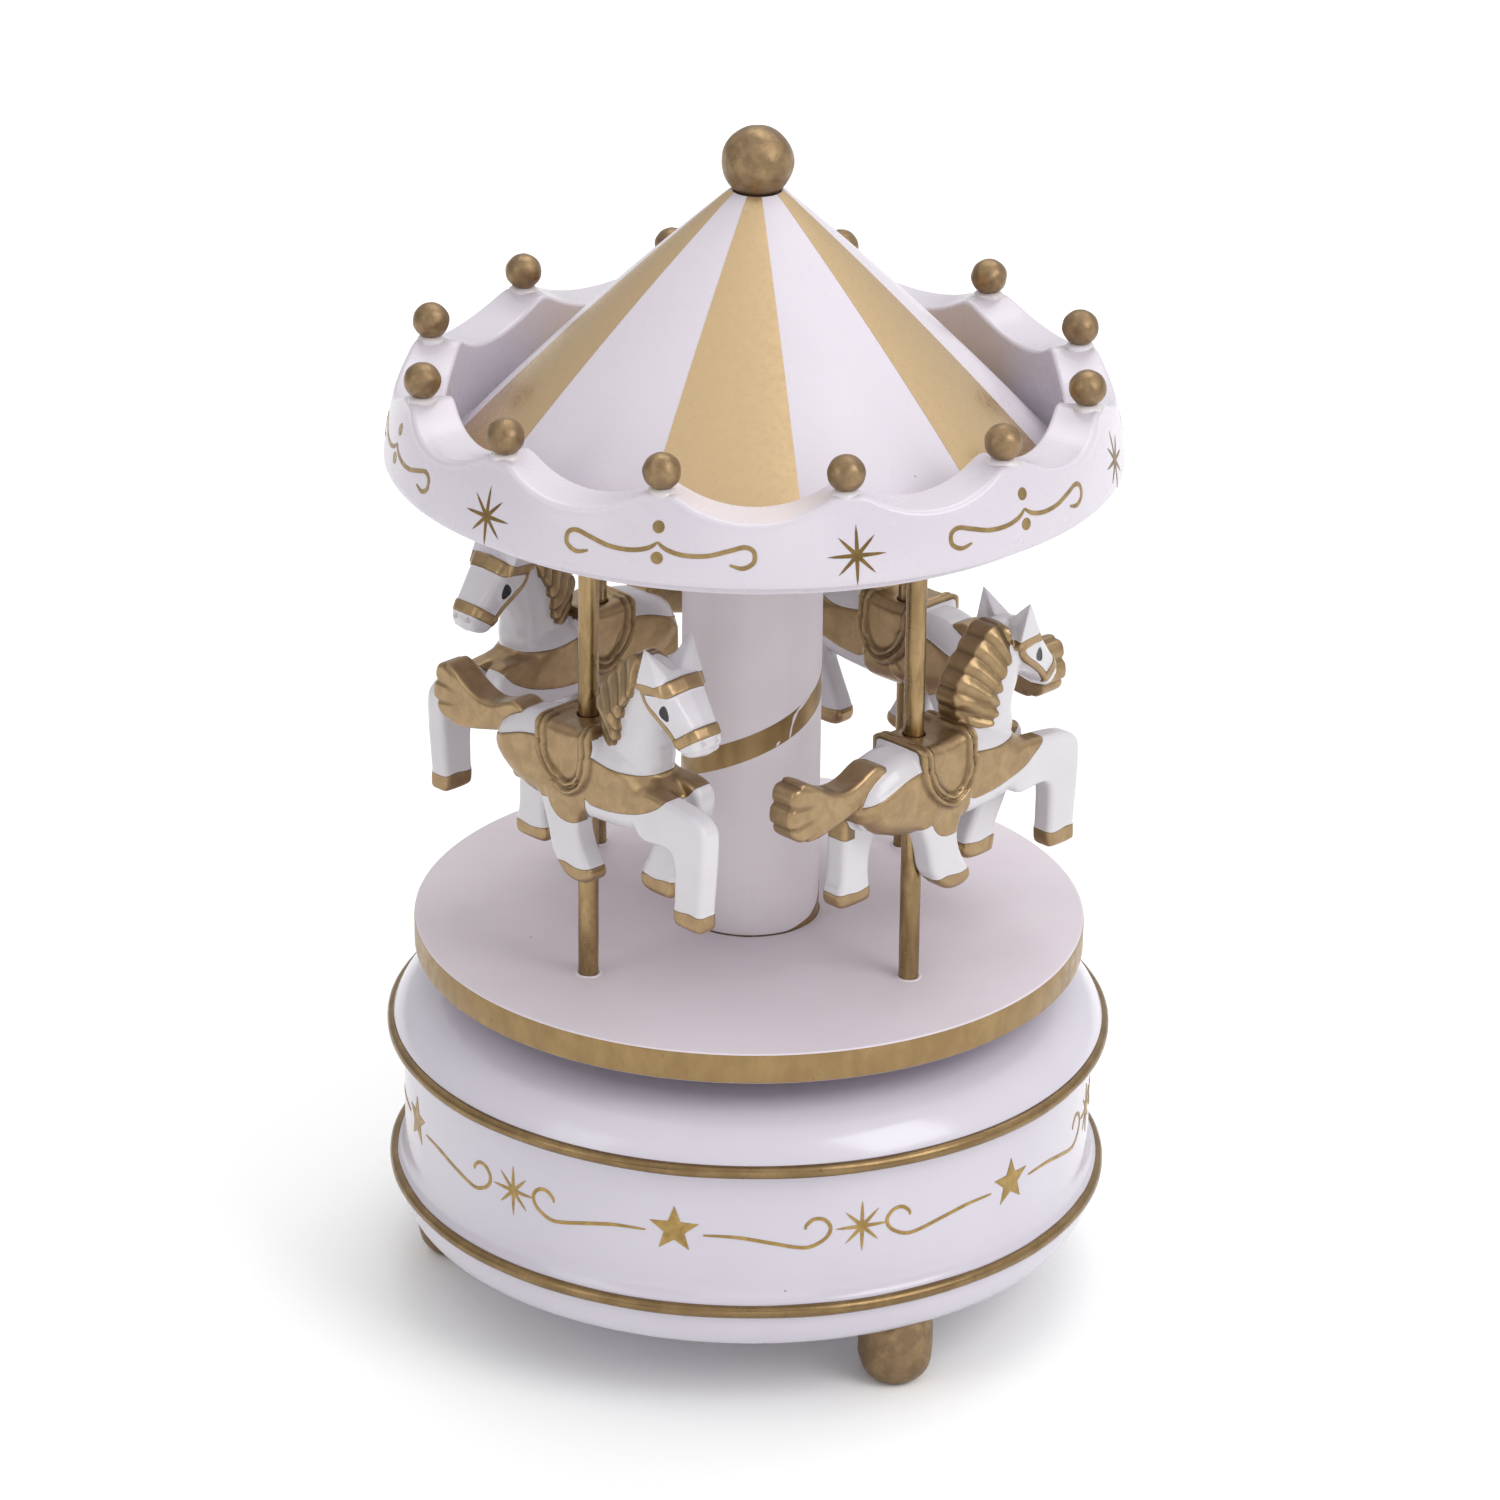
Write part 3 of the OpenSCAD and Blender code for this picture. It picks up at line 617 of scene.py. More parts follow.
scratch = Build()
for path, width in SCRATCHES:
    scratch.add(*scratch_mesh(path, width))
piece("ribbon_scratch", *scratch.mesh, column_white, "carousel", "white_matte")

# A thin dark brown ring round the column's foot, where the column stands on the platform.
FOOT_LINE_LOW, FOOT_LINE_TOP = PLATFORM_TOP - 0.02, PLATFORM_TOP + 0.16
foot_line_profile = [
    (COLUMN_R - 0.05, FOOT_LINE_LOW), (COLUMN_R + 0.2, FOOT_LINE_LOW), (COLUMN_R + 0.19, FOOT_LINE_LOW + 0.08),
    (COLUMN_R + 0.04, FOOT_LINE_TOP), (COLUMN_R - 0.05, FOOT_LINE_TOP),
]
piece("column_foot_dark_line", *lathe(foot_line_profile, 128, uneven=wobble((0.05, 3, 0, 0), (0.03, 11, 0, 0))),
      foot_line_brown, "carousel", "gilt_paint")

POLE_CIRCLE_R, POLE_R = 31.1, 1.4
POLE_ANGLES = (45, 135, 225, 315)
rod_profile = (
    [(0, 51.0), (1.2, 51.0), (POLE_R, 51.2)] + [(POLE_R, z) for z in np.linspace(53, 121, 60)]
    + [(POLE_R, 122.1), (1.2, 122.3), (0, 122.3)]
)
paint_ring = arc(1.6, PLATFORM_TOP, 0.24, 0.16, 0, 360, 12)[:-1]
sockets = Build()
for number, angle in enumerate(POLE_ANGLES, 1):
    at = polar(POLE_CIRCLE_R, angle)
    rod = lathe(rod_profile, 40, closed=False, uneven=wobble((0.012, 2, 0.7, number)), centre=at)
    piece(f"pole_{number}_rod", *rod, pole_gilt, "carousel", "gilt_pole", [f"pole_{number}"])
    sockets.add(*lathe(paint_ring, 40, uneven=wobble((0.04, 2, 0, number), (0.03, 5, 0, 0)), centre=at))
piece("pole_paint_rings", *sockets.mesh, glue_white, "carousel", "white_matte")


# ---------------- canopy

RING_LOW, RING_H, RING_R, RING_TOP_R, RING_IN_R = 122.9, 11.6, 50.5, 48.3, 41.8
RING_TOP = RING_LOW + RING_H
SCALLOPS, CUT_R, CUT_D, CUT_EASE, EDGE = 12, 18.5, 3.1, 0.55, 0.9
RIM_OUT_R, RIM_IN_R, LIP_EDGE = 47.5, 42.2, 0.6


def ring_top(angle, radius):
    """Height of the scalloped edge: round cuts between short flats, their corners eased."""
    pitch = 2 * math.pi / SCALLOPS
    off = (angle + pitch / 2) % pitch - pitch / 2
    y = radius * math.sin(off)
    cut = RING_TOP + CUT_R - CUT_D - math.sqrt(CUT_R ** 2 - y * y)
    h = max(0.0, min(1.0, 0.5 + 0.5 * (cut - RING_TOP) / CUT_EASE))
    return cut * (1 - h) + RING_TOP * h - CUT_EASE * h * (1 - h)


def ring_wall(z):
    """Outer radius of the ring wall, which leans in and swells slightly."""
    t = min(1.0, max(0.0, (z - RING_LOW - 0.4) / (RING_H - EDGE - 0.4)))
    return RING_R + (RING_TOP_R - RING_R) * t + 1.4 * t * (1 - t)


def ring_section(a):
    """The ring's closed cross-section at one angle, as (radius, height)."""
    outer_top, inner_top = ring_top(a, RIM_OUT_R), ring_top(a, RIM_IN_R)
    shoulder, lip_low, lip_r = outer_top - EDGE, inner_top - LIP_EDGE, RING_IN_R + LIP_EDGE
    crest_r = ring_wall(shoulder) - EDGE
    section = [(RING_IN_R, RING_LOW), (44, RING_LOW), (RIM_OUT_R, RING_LOW), (RING_R - 0.5, RING_LOW + 0.02),
               (RING_R - 0.15, RING_LOW + 0.14)]
    section += [(ring_wall(z), z) for z in np.linspace(RING_LOW + 0.45, shoulder, 12)]
    section += arc(crest_r, shoulder, EDGE, EDGE, 8, 82, 7)
    section += [(crest_r + (lip_r - crest_r) * t, outer_top + (inner_top - outer_top) * t)
                for t in (0.0, 0.35, 0.7, 1.0)]
    section += arc(lip_r, lip_low, LIP_EDGE, LIP_EDGE, 98, 172, 4)
    return section + [(RING_IN_R, z) for z in np.linspace(lip_low, RING_LOW, 6)[:-1]]


def ring_mesh(rows=720):
    angles = [2 * math.pi * i / rows for i in range(rows)]
    sections = [ring_section(a) for a in angles]
    verts = [spun(r, a, z) for a, line in zip(angles, sections) for r, z in line]
    return verts, torus_faces(rows, len(sections[0]))


piece("canopy_fascia", *ring_mesh(), ring_gloss, "carousel", "white_gloss", ["canopy_ring"], 50)

RING_PRINT_Z = 127.6
half_scroll = [stroke([(0.0, 0.55), (1.2, -0.3), (3.5, -0.85), (6.5, -0.75), (9.3, 0.0), (11.4, 0.55),
                       (12.6, 0.0), (12.6, -1.4), (11.2, -2.2), (9.5, -1.8)], 0.6)]
ring_print, ring_sparkles = Build(), Build()
for k in range(6):
    wrapped(ring_sparkles, ring_wall, 15.6 + 60 * k, RING_PRINT_Z - 0.5, sparkle(4.0, 0.3))
    for strips in (half_scroll, mirrored(half_scroll), dot(0, 2.5, 0.82), dot(0, -1.5, 0.82)):
        wrapped(ring_print, ring_wall, -14.4 + 60 * k, RING_PRINT_Z + 0.5, strips)
piece("fascia_print", *ring_print.mesh, fascia_gilt, "carousel", "gilt_paint")
piece("fascia_sparkles", *ring_sparkles.mesh, sparkle_gilt, "carousel", "gilt_paint")

deck_profile = (
    [(0, DECK_LOW), (46.6, DECK_LOW)] + arc(46.6, DECK_LOW + 0.4, 0.4, 0.4, -90, 0, 4)
    + arc(46.7, RING_LOW - 0.3, 0.3, 0.3, 0, 90, 3) + [(0, RING_LOW)]
)
piece("canopy_floor", *lathe(deck_profile, 192, closed=False), ring_gloss, "carousel", "white_gloss",
      ["canopy_deck"])

BEAD_CIRCLE_R, BEAD_Z, CROWN_R = 46.1, 137.1, 2.53
ball_profile = arc(0, BEAD_Z, CROWN_R, CROWN_R * 0.985, -89.9, 89.9, 28)
ball_profile[0], ball_profile[-1] = (0, ball_profile[0][1]), (0, ball_profile[-1][1])
pad_profile = [(0, RING_TOP - 0.4), (2.0, RING_TOP - 0.4), (1.95, RING_TOP), (1.75, RING_TOP + 0.22),
               (1.35, RING_TOP + 0.5), (0, RING_TOP + 0.6)]
crown, pads = Build(), Build()
for k in range(SCALLOPS):
    at = polar(BEAD_CIRCLE_R, 15 + 30 * k)
    crown.add(*lathe(ball_profile, 48, closed=False, uneven=wobble((0.03, 3, 2, 1.7 * k), (0.02, 5, -3, k)),
                     centre=at))
    pads.add(*lathe(pad_profile, 32, closed=False, uneven=wobble((0.12, 2, 0, 2.1 * k), (0.06, 5, 0, k)),
                    centre=at))
piece("crown_bead_balls", *crown.mesh, antique_gilt, "carousel", "gilt_paint", ["crown_beads"])
piece("crown_bead_glue", *pads.mesh, glue_white, "carousel", "white_gloss")

ROOF_TOP_R, ROOF_TOP, ROOF_BASE_R, ROOF_BULGE = 3.6, 160.6, 41.7, 0.7
SEAT_R, SEAT_Z = 3.3, 159.6
roof_line = bow((ROOF_TOP_R, ROOF_TOP), (ROOF_BASE_R, RING_LOW), ROOF_BULGE, 40)
inner_line = bow((ROOF_TOP_R - 0.5, ROOF_TOP - 1.5), (ROOF_BASE_R - 2.2, RING_LOW + 0.02), ROOF_BULGE, 12)
roof_profile = (
    [(0, SEAT_Z - 1.2), (0, SEAT_Z), (SEAT_R, SEAT_Z), (SEAT_R, ROOF_TOP - 0.1), (ROOF_TOP_R - 0.1, ROOF_TOP)]
    + roof_line[1:] + inner_line[::-1]
)
piece("roof_shell", *lathe(roof_profile, 240, closed=False), roof_white, "carousel", "roof_print",
      ["roof_cone"])

STRIPES, STRIPE_TURN, STRIPE_HALF = 5, -6.2, 16.0


def roof_stripe(centre, across=14):
    """One gilt stripe laid over the cone, `centre` degrees from the front."""
    line = [(ROOF_TOP_R - 0.05, ROOF_TOP - 0.02)] + roof_line[1:-1]
    verts, faces = [], []
    for lift in (0.035, -0.028):
        for r, z in line:
            for j in range(across + 1):
                a = front_angle(centre + STRIPE_HALF * (2 * j / across - 1))
                verts.append(spun(r + lift, a, z + lift))
    rows, wide = len(line), across + 1
    half = rows * wide
    for i in range(rows - 1):
        for j in range(across):
            p = i * wide + j
            faces.append((p, p + wide, p + wide + 1, p + 1))
            faces.append((half + p, half + p + 1, half + p + wide + 1, half + p + wide))
    for i in range(rows - 1):
        left, right = i * wide, i * wide + across
        faces.append((left, half + left, half + left + wide, left + wide))
        faces.append((right + wide, half + right + wide, half + right, right))
    for j in range(across):
        top, low = j, (rows - 1) * wide + j
        faces.append((top + 1, half + top + 1, half + top, top))
        faces.append((low, half + low, half + low + 1, low + 1))
    return verts, faces


roof_print = Build()
for k in range(STRIPES):
    roof_print.add(*roof_stripe(STRIPE_TURN + 360 / STRIPES * k))
piece("roof_stripes", *roof_print.mesh, roof_gilt, "carousel", "roof_print")

FINIAL_Z, FINIAL_R = 164.5, 4.9
knob_profile = (
    [(0, SEAT_Z + 0.02), (2.6, SEAT_Z + 0.02)]
    + arc(0, FINIAL_Z, FINIAL_R, FINIAL_R * 0.99, -56, 89, 40)
    + [(0, FINIAL_Z + FINIAL_R * 0.99)]
)
knob = lathe(knob_profile, 96, closed=False, uneven=wobble((0.05, 3, 1, 0), (0.04, 5, -0.8, 0)))
piece("finial_ball", *knob, antique_gilt, "carousel", "gilt_paint", ["finial"])


# ---------------- horses, sculpted as distance fields
# Horse frame in mm: u forwards, w sideways (towards the axis is +), z up; the pole is at u = w = 0.

HORSE_W = -1.2
STEP = 0.24


def rounded(points, cuts=2):
    """A closed outline with its corners cut smooth."""
    p = np.array(points, float)
    for _ in range(cuts):
        q = np.roll(p, -1, 0)
        p = np.stack([p * 0.75 + q * 0.25, p * 0.25 + q * 0.75], 1).reshape(-1, 2)
    return p


def inside_distance(points, u, z, cuts=2):
    """Signed distance to a closed outline, negative inside."""
    p = rounded(points, cuts)
    best = np.full(np.broadcast(u, z).shape, 1e9)
    odd = np.zeros(np.broadcast(u, z).shape, bool)
    for (ax, az), (bx, bz) in zip(p, np.roll(p, -1, 0)):
        ex, ez = bx - ax, bz - az
        t = np.clip(((u - ax) * ex + (z - az) * ez) / (ex * ex + ez * ez + 1e-12), 0, 1)
        best = np.minimum(best, (u - ax - t * ex) ** 2 + (z - az - t * ez) ** 2)
        crosses = (az > z) != (bz > z)
        odd ^= crosses & (u < (bx - ax) * (z - az) / (bz - az + 1e-12) + ax)
    return np.where(odd, -1, 1) * np.sqrt(best)


def line_distance(points, u, z):
    """Distance to an open smooth line."""
    p = smooth_line(points, 5)
    best = np.full(np.broadcast(u, z).shape, 1e9)
    for (ax, az), (bx, bz) in zip(p[:-1], p[1:]):
        ex, ez = bx - ax, bz - az
        t = np.clip(((u - ax) * ex + (z - az) * ez) / (ex * ex + ez * ez + 1e-12), 0, 1)
        best = np.minimum(best, (u - ax - t * ex) ** 2 + (z - az - t * ez) ** 2)
    return np.sqrt(best)


def bump(d, half):
    """A smooth raised line of that half width around distance 0."""
    return np.clip(1 - (d / half) ** 2, 0, 1) ** 1.5


def plateau(d, soft=0.35):
    """1 inside an outline, 0 outside, with a soft step."""
    t = np.clip(0.5 - d / soft, 0, 1)
    return t * t * (3 - 2 * t)


BARREL = [
    (-11, 90.2), (-7.5, 91.5), (-4, 91.7), (0, 91.5), (5, 91.8), (10, 91.6), (13.2, 90.6), (18.4, 86.7),
    (20.4, 84.6), (20.0, 81.4), (14, 79.9), (8, 79.2), (2, 79.2), (-4, 79.4), (-8, 80.2), (-11.5, 81.8),
    (-14.2, 84.6), (-13.8, 88),
]
NECK = [
    (5.4, 89), (6.4, 94), (7.8, 98), (10.2, 101.2), (12.8, 103.6), (15.8, 104.0), (18, 101.5),
    (17.4, 96.8), (16.0, 93.4), (16.6, 90.4), (15.6, 87), (10, 85),
]
HEAD = [
    (14.6, 101), (14.9, 104), (16.8, 104.9), (19.0, 104.4), (20.8, 102), (22.9, 99.2), (24.4, 97.1),
    (25.0, 95.8), (24.9, 94.6), (24.0, 93.7), (22.2, 93.3), (20.9, 94.4), (19.8, 95.8), (18, 97.1),
    (16.2, 98.6), (15, 99.8),
]
MANE = [
    (4.5, 95.6), (4.9, 98.0), (6.4, 100.2), (8.4, 102.2), (9.9, 103.9), (11.3, 105.0), (12.7, 105.6),
    (14.2, 105.0), (14.9, 104.0), (14.7, 102.2), (13.5, 101.6), (13.3, 99.6), (12.1, 98.8), (11.8, 96.8),
    (11.0, 96.0), (11.2, 93.8), (10.4, 92.2), (9.0, 91.5), (7.6, 91.9), (5.3, 93.2),
]
CREST = [
    (5.3, 93.2), (4.5, 95.6), (4.9, 98.0), (6.4, 100.2), (8.4, 102.2), (9.9, 103.9), (11.3, 105.0),
    (12.7, 105.6), (14.2, 105.0),
]
TAIL = [
    (-8.5, 90.6), (-10.5, 91.6), (-12, 91.3), (-14.5, 89.9), (-17.3, 89.5), (-20, 90.5), (-22.6, 92.3),
    (-24.6, 93.2), (-26.4, 92.4), (-26.9, 91.0), (-26.7, 90.0), (-27.3, 89.0), (-27.3, 87.4),
    (-26.6, 86.6), (-26.5, 85.6), (-24.8, 84.4), (-22, 84.1), (-18.5, 84.9), (-14.5, 86.0), (-11.8, 86.7),
    (-9.0, 87.6),
]
RIGHT_FORE = [
    (14, 87.6), (19, 87.2), (23.5, 86.7), (26.0, 86.2), (27.5, 85.0), (27.9, 83.6), (27.8, 80), (27.2, 73),
    (27.1, 72.2), (27.2, 70.2), (26.8, 69.7), (22.7, 69.7), (22.0, 70.2), (21.9, 72), (22.0, 73.5),
    (22.05, 78), (21.7, 79.6), (20.4, 80.3), (14, 79.6),
]
LEFT_FORE = [
    (13, 88), (18, 88.4), (20.6, 88.0), (21.8, 86.6), (21.7, 83.6), (19.4, 78.6), (16.5, 73.4),
    (16.6, 72.2), (16.3, 70.2), (15.8, 69.7), (11.6, 69.7), (10.4, 70.6), (10.3, 72.2), (12.4, 76.2),
    (14.4, 80.4),
]
RIGHT_HIND = [
    (-6, 86), (-3.6, 80), (-2.4, 77), (-2.0, 75), (-1.5, 73.0), (0.2, 71.2), (1.8, 70.0), (4.4, 69.9),
    (6.0, 70.7), (6.0, 71.9), (5.3, 73.0), (3.9, 75.4), (3.2, 78.2), (4.2, 80.6), (4, 84),
]
LEFT_HIND = [
    (-13.4, 87), (-13.6, 82), (-13.6, 78), (-13.7, 74), (-14.2, 72.6), (-14.2, 70.8), (-13.6, 70.1),
    (-9.0, 70.1), (-8.2, 70.6), (-8.3, 72.6), (-8.6, 75), (-8.2, 78), (-6, 81), (-5, 85),
]

SADDLE = [
    (-4.4, 95), (-4.4, 91), (-4.2, 88.2), (-3.0, 85.6), (-0.8, 83.5), (1.9, 82.3), (4.4, 83.4),
    (6.1, 85.6), (6.6, 88.4), (6.4, 91), (6.2, 95),
]
FLAP = [
    (-2.4, 82.8), (-2.0, 80.8), (-1.0, 79.2), (0.6, 78.3), (3.2, 78.4), (5.1, 79.3), (5.4, 82),
    (5.2, 84.6), (1.0, 85),
]
BREAST = [
    (4.5, 82.3), (9.5, 82.3), (14.5, 83.4), (17.8, 84.8), (19.8, 86.2), (21.5, 88.5), (19.6, 91.6),
    (18.2, 90.4), (17.0, 89.0), (11.8, 88.7), (9, 88.8), (4.5, 89.6),
]
BLANKET = [
    (-3, 89.4), (-6.8, 89.0), (-10.5, 87.6), (-16, 85.6), (-16, 84), (-13, 81.4), (-9.6, 81.4),
    (-6.6, 79.9), (-3.6, 80.6), (0, 81.2), (0, 87),
]
BROW = [
    (14.4, 102.6), (14.7, 101.0), (17.0, 101.4), (19.0, 101.6), (20.2, 101.6), (21.0, 102.6),
    (19.8, 104.6), (18.8, 103.0), (16.6, 102.9),
]
NOSE = [
    (24.8, 99.0), (22.6, 97.1), (20.6, 95.7), (21.2, 94.2), (23.2, 95.7), (25.9, 97.5),
]
CHEEK = [
    (16.0, 102.0), (15.8, 100.9), (16.6, 99.7), (18.4, 98.3), (20.2, 96.8), (21.2, 95.6),
]
EYE = [
    (19.7, 100.7), (19.0, 100.3), (18.6, 99.4), (19.0, 98.7), (20.3, 98.2), (20.3, 99.4),
]
SEAT = [
    (-4.2, 84), (-4.5, 91.2), (-4.0, 92.2), (-2.5, 92.0), (0.5, 91.8), (4.0, 92.2), (5.6, 92.9), (6.4, 92.5),
    (6.6, 90), (5, 84),
]
FORELOCK = [(13.2, 105.2), (15.4, 105.3), (18.0, 104.6), (16.6, 103.4), (14.0, 103.2)]
MOUTH = [(22.6, 94.2), (24.2, 94.8), (25.6, 95.2)]
EAR_LOW, EAR_TALL = 103.7, 4.5
LOCK_PIVOT, LOCK_ANGLE = (19.2, 89.7), 9.6
BRUSH_PIVOT, BRUSH_ANGLE, BRUSH_FRONT = (-15.0, 88.4), 15, -22.0
HOOF_TOP = 72.25
# Outline, middle across the horse and half thickness of each leg.
LEGS = ((RIGHT_FORE, -3.75, 1.7), (LEFT_FORE, 1.35, 1.7), (RIGHT_HIND, -3.85, 1.85), (LEFT_HIND, 1.3, 1.85))


def locks(u, z):
    """0 in the grooves between the mane's locks, 1 on their ridges."""
    angle = np.degrees(np.arctan2(z - LOCK_PIVOT[1], LOCK_PIVOT[0] - u))
    reach = np.hypot(u - LOCK_PIVOT[0], z - LOCK_PIVOT[1])
    share = (angle + 0.9 * np.sin(reach * 0.75)) / LOCK_ANGLE % 1
    return 1 - np.abs(2 * share - 1) ** 1.3


def tail_strands(u, z):
    """0 in the grooves that fan out over the tail's brush, 1 between them; fades out towards the root."""
    angle = np.degrees(np.arctan2(z - BRUSH_PIVOT[1], BRUSH_PIVOT[0] - u))
    groove = np.clip(1 - np.abs(angle % BRUSH_ANGLE - BRUSH_ANGLE / 2) / 2.4, 0, 1)
    return 1 - groove * np.clip((BRUSH_FRONT - u) / 2, 0, 1)


def slab(d, w, half, edge):
    """Distance to a slab of half width `half` about w = 0 whose outline distance is d, its edges rounded."""
    a, b = d + edge, np.abs(w) - half + edge
    return np.minimum(np.maximum(a, b), 0) + np.hypot(np.maximum(a, 0), np.maximum(b, 0)) - edge


def smooth_min(a, b, k):
    h = np.clip(0.5 + 0.5 * (b - a) / k, 0, 1)
    return b * (1 - h) + a * h - k * h * (1 - h)


def barrel_field(u, aside, z):
    """The trunk with its saddle, whose relief fades out over the back."""
    d_saddle = inside_distance(SADDLE, u, z)
    cloth = np.minimum(inside_distance(BREAST, u, z), inside_distance(BLANKET, u, z))
    relief = (0.25 * plateau(d_saddle, 0.3) + 0.6 * bump(d_saddle + 0.5, 0.48)
              + 0.55 * bump(d_saddle + 1.6, 0.48)
              + 0.2 * plateau(cloth, 0.3) + 0.25 * plateau(inside_distance(FLAP, u, z), 0.3))
    relief = relief * np.clip((94.2 - z) / 2.5, 0, 1)
    trunk = slab(inside_distance(BARREL, u, z, 1), aside, 4.4, 3.3) - relief
    seat = slab(inside_distance(SEAT, u, z, 1), aside, 4.45, 1.3) - relief
    return smooth_min(trunk, seat, 0.3)


def head_field(u, aside, z):
    taper = np.clip((u - 17) / 9, 0, 1)
    lines = (0.22 * plateau(inside_distance(BROW, u, z, 1), 0.3)
             + 0.22 * plateau(inside_distance(NOSE, u, z, 1), 0.3)
             + 0.22 * bump(line_distance(CHEEK, u, z), 0.55)
             - 0.2 * bump(line_distance(MOUTH, u, z), 0.28))
    socket = 0.1 * bump(inside_distance(EYE, u, z) - 0.2, 0.32)
    wedge = inside_distance(HEAD, u, z, 1) + 0.13 * np.abs(aside)
    head = slab(wedge, aside, 3.95 - 1.6 * taper, 1.0) - lines - socket
    nostril = np.sqrt((u - 24.6) ** 2 + (z - 95.9) ** 2 + (np.abs(aside) - 1.3) ** 2) - 0.4
    return np.maximum(head, -nostril)


def ear_field(u, aside, z):
    """One ear, a pyramid that leans outwards; `aside` is positive on its own side."""
    t = np.clip((z - EAR_LOW) / EAR_TALL, -0.5, 1.3)
    spread = np.abs(aside - 2.2 - 2.3 * t)
    across = spread - 2.15 * (1 - t)
    along = np.abs(u - 17.4 + 0.9 * t + 0.25 * spread) - 1.7 * (1 - t)
    return np.maximum(np.maximum(across, along) * 0.8, EAR_LOW - 2.0 - z)


def mane_field(u, aside, z):
    ridge = locks(u, z)
    crest = line_distance(CREST, u, z)
    outline = inside_distance(MANE, u, z) + 0.4 * (1 - ridge) ** 2
    flare = 1.5 + 0.52 * np.clip(crest, 0, 4.8)
    depth = np.clip(0.25 + crest / 1.5, 0, 1)
    side_face = (np.abs(aside) - flare - 0.55 * ridge * depth) * 0.9
    return -smooth_min(-outline, -side_face, 0.2)


def tail_field(u, w, z):
    strands = tail_strands(u, z)
    outline = inside_distance(TAIL, u, z) + 0.1 * (1 - strands)
    return slab(outline, w + 1.6, 2.25, 0.7) + 0.22 * (1 - strands) * plateau(outline, 0.6)


def horse_parts(u, w, z):
    """Distance fields of the horse's white body, its mane and its tail."""
    aside = w - HORSE_W
    body = barrel_field(u, aside, z)
    body = smooth_min(body, slab(inside_distance(NECK, u, z), aside, 3.3, 2.8), 0.7)
    body = smooth_min(body, head_field(u, aside, z), 0.25)
    for side in (-1, 1):
        body = smooth_min(body, ear_field(u, aside * side, z), 0.15)
    cuff = 0.1 * plateau(z - HOOF_TOP - 0.05, 0.3)
    for outline, centre, half in LEGS:
        body = smooth_min(body, slab(inside_distance(outline, u, z), w - centre, half, 0.85) - cuff, 0.6)
    body = smooth_min(body, slab(inside_distance(FORELOCK, u, z), aside, 1.2, 0.8), 0.3)
    return body, mane_field(u, aside, z), tail_field(u, w, z)


def horse_field(u, w, z):
    """The horse's distance field, negative inside, on arrays that broadcast together."""
    body, mane, tail = horse_parts(u, w, z)
    body = np.minimum(np.minimum(body, mane), tail)
    bore = np.hypot(u, w) - (POLE_R + 0.16)
    return np.maximum(body, -bore)


def surface_net(field, origin, step):
    """Turns a distance field on a grid into a closed quad mesh."""
    inside = field < 0
    nu, nw, nz = field.shape
    corners = np.zeros((nu - 1, nw - 1, nz - 1), np.uint8)
    for i, j, k in np.ndindex(2, 2, 2):
        corners += inside[i:nu - 1 + i, j:nw - 1 + j, k:nz - 1 + k]
    active = (corners > 0) & (corners < 8)
    index = np.full(active.shape, -1, np.int64)
    index[active] = np.arange(active.sum())
    cells = np.argwhere(active)
    total, count = np.zeros((len(cells), 3)), np.zeros(len(cells))
    for axis, unit in enumerate(np.eye(3, dtype=int)):
        for offset in np.ndindex(2, 2, 2):
            if offset[axis]:
                continue
            p = cells + offset
            f0, f1 = field[tuple(p.T)], field[tuple((p + unit).T)]
            cross = (f0 < 0) != (f1 < 0)
            t = np.where(cross, f0 / np.where(cross, f0 - f1, 1), 0)
            total += np.where(cross[:, None], p + t[:, None] * unit, 0)
            count += cross
    verts = origin + step * total / count[:, None]
    quads = []
    for axis in range(3):
        a = np.moveaxis(inside, axis, 0)
        change = a[:-1] != a[1:]
        change[:, 0], change[:, -1], change[:, :, 0], change[:, :, -1] = False, False, False, False
        at = np.argwhere(change)
        first_in = a[:-1][tuple(at.T)]
        cell = np.moveaxis(index, axis, 0)
        i, j, k = at.T
        ring = np.stack([cell[i, j - 1, k - 1], cell[i, j, k - 1], cell[i, j, k], cell[i, j - 1, k]], 1)
        keep = ~first_in if axis == 1 else first_in
        quads.append(np.where(keep[:, None], ring, ring[:, ::-1]))
    return verts, np.concatenate(quads)


def settle(verts, field, origin, step, rounds=2):
    """Moves the net's vertices onto the field's zero surface."""
    for _ in range(rounds):
        g = (verts - origin) / step
        i = np.clip(g.astype(int), 0, np.array(field.shape) - 2)
        f = g - i
        value, grad = np.zeros(len(verts)), np.zeros(verts.shape)
        for corner in np.ndindex(2, 2, 2):
            sample = field[tuple((i + corner).T)]
            share = np.where(corner, f, 1 - f)
            value += sample * share.prod(1)
            for axis, at_far_side in enumerate(corner):
                slope = sample if at_far_side else -sample
                grad[:, axis] += slope * np.delete(share, axis, 1).prod(1)
        move = -(value / np.maximum((grad ** 2).sum(1), 0.05 * step ** 2))[:, None] * grad
        length = np.linalg.norm(move, axis=1)[:, None]
        verts = verts + move * step * np.minimum(1, 0.35 / np.maximum(length, 1e-9))
    return verts


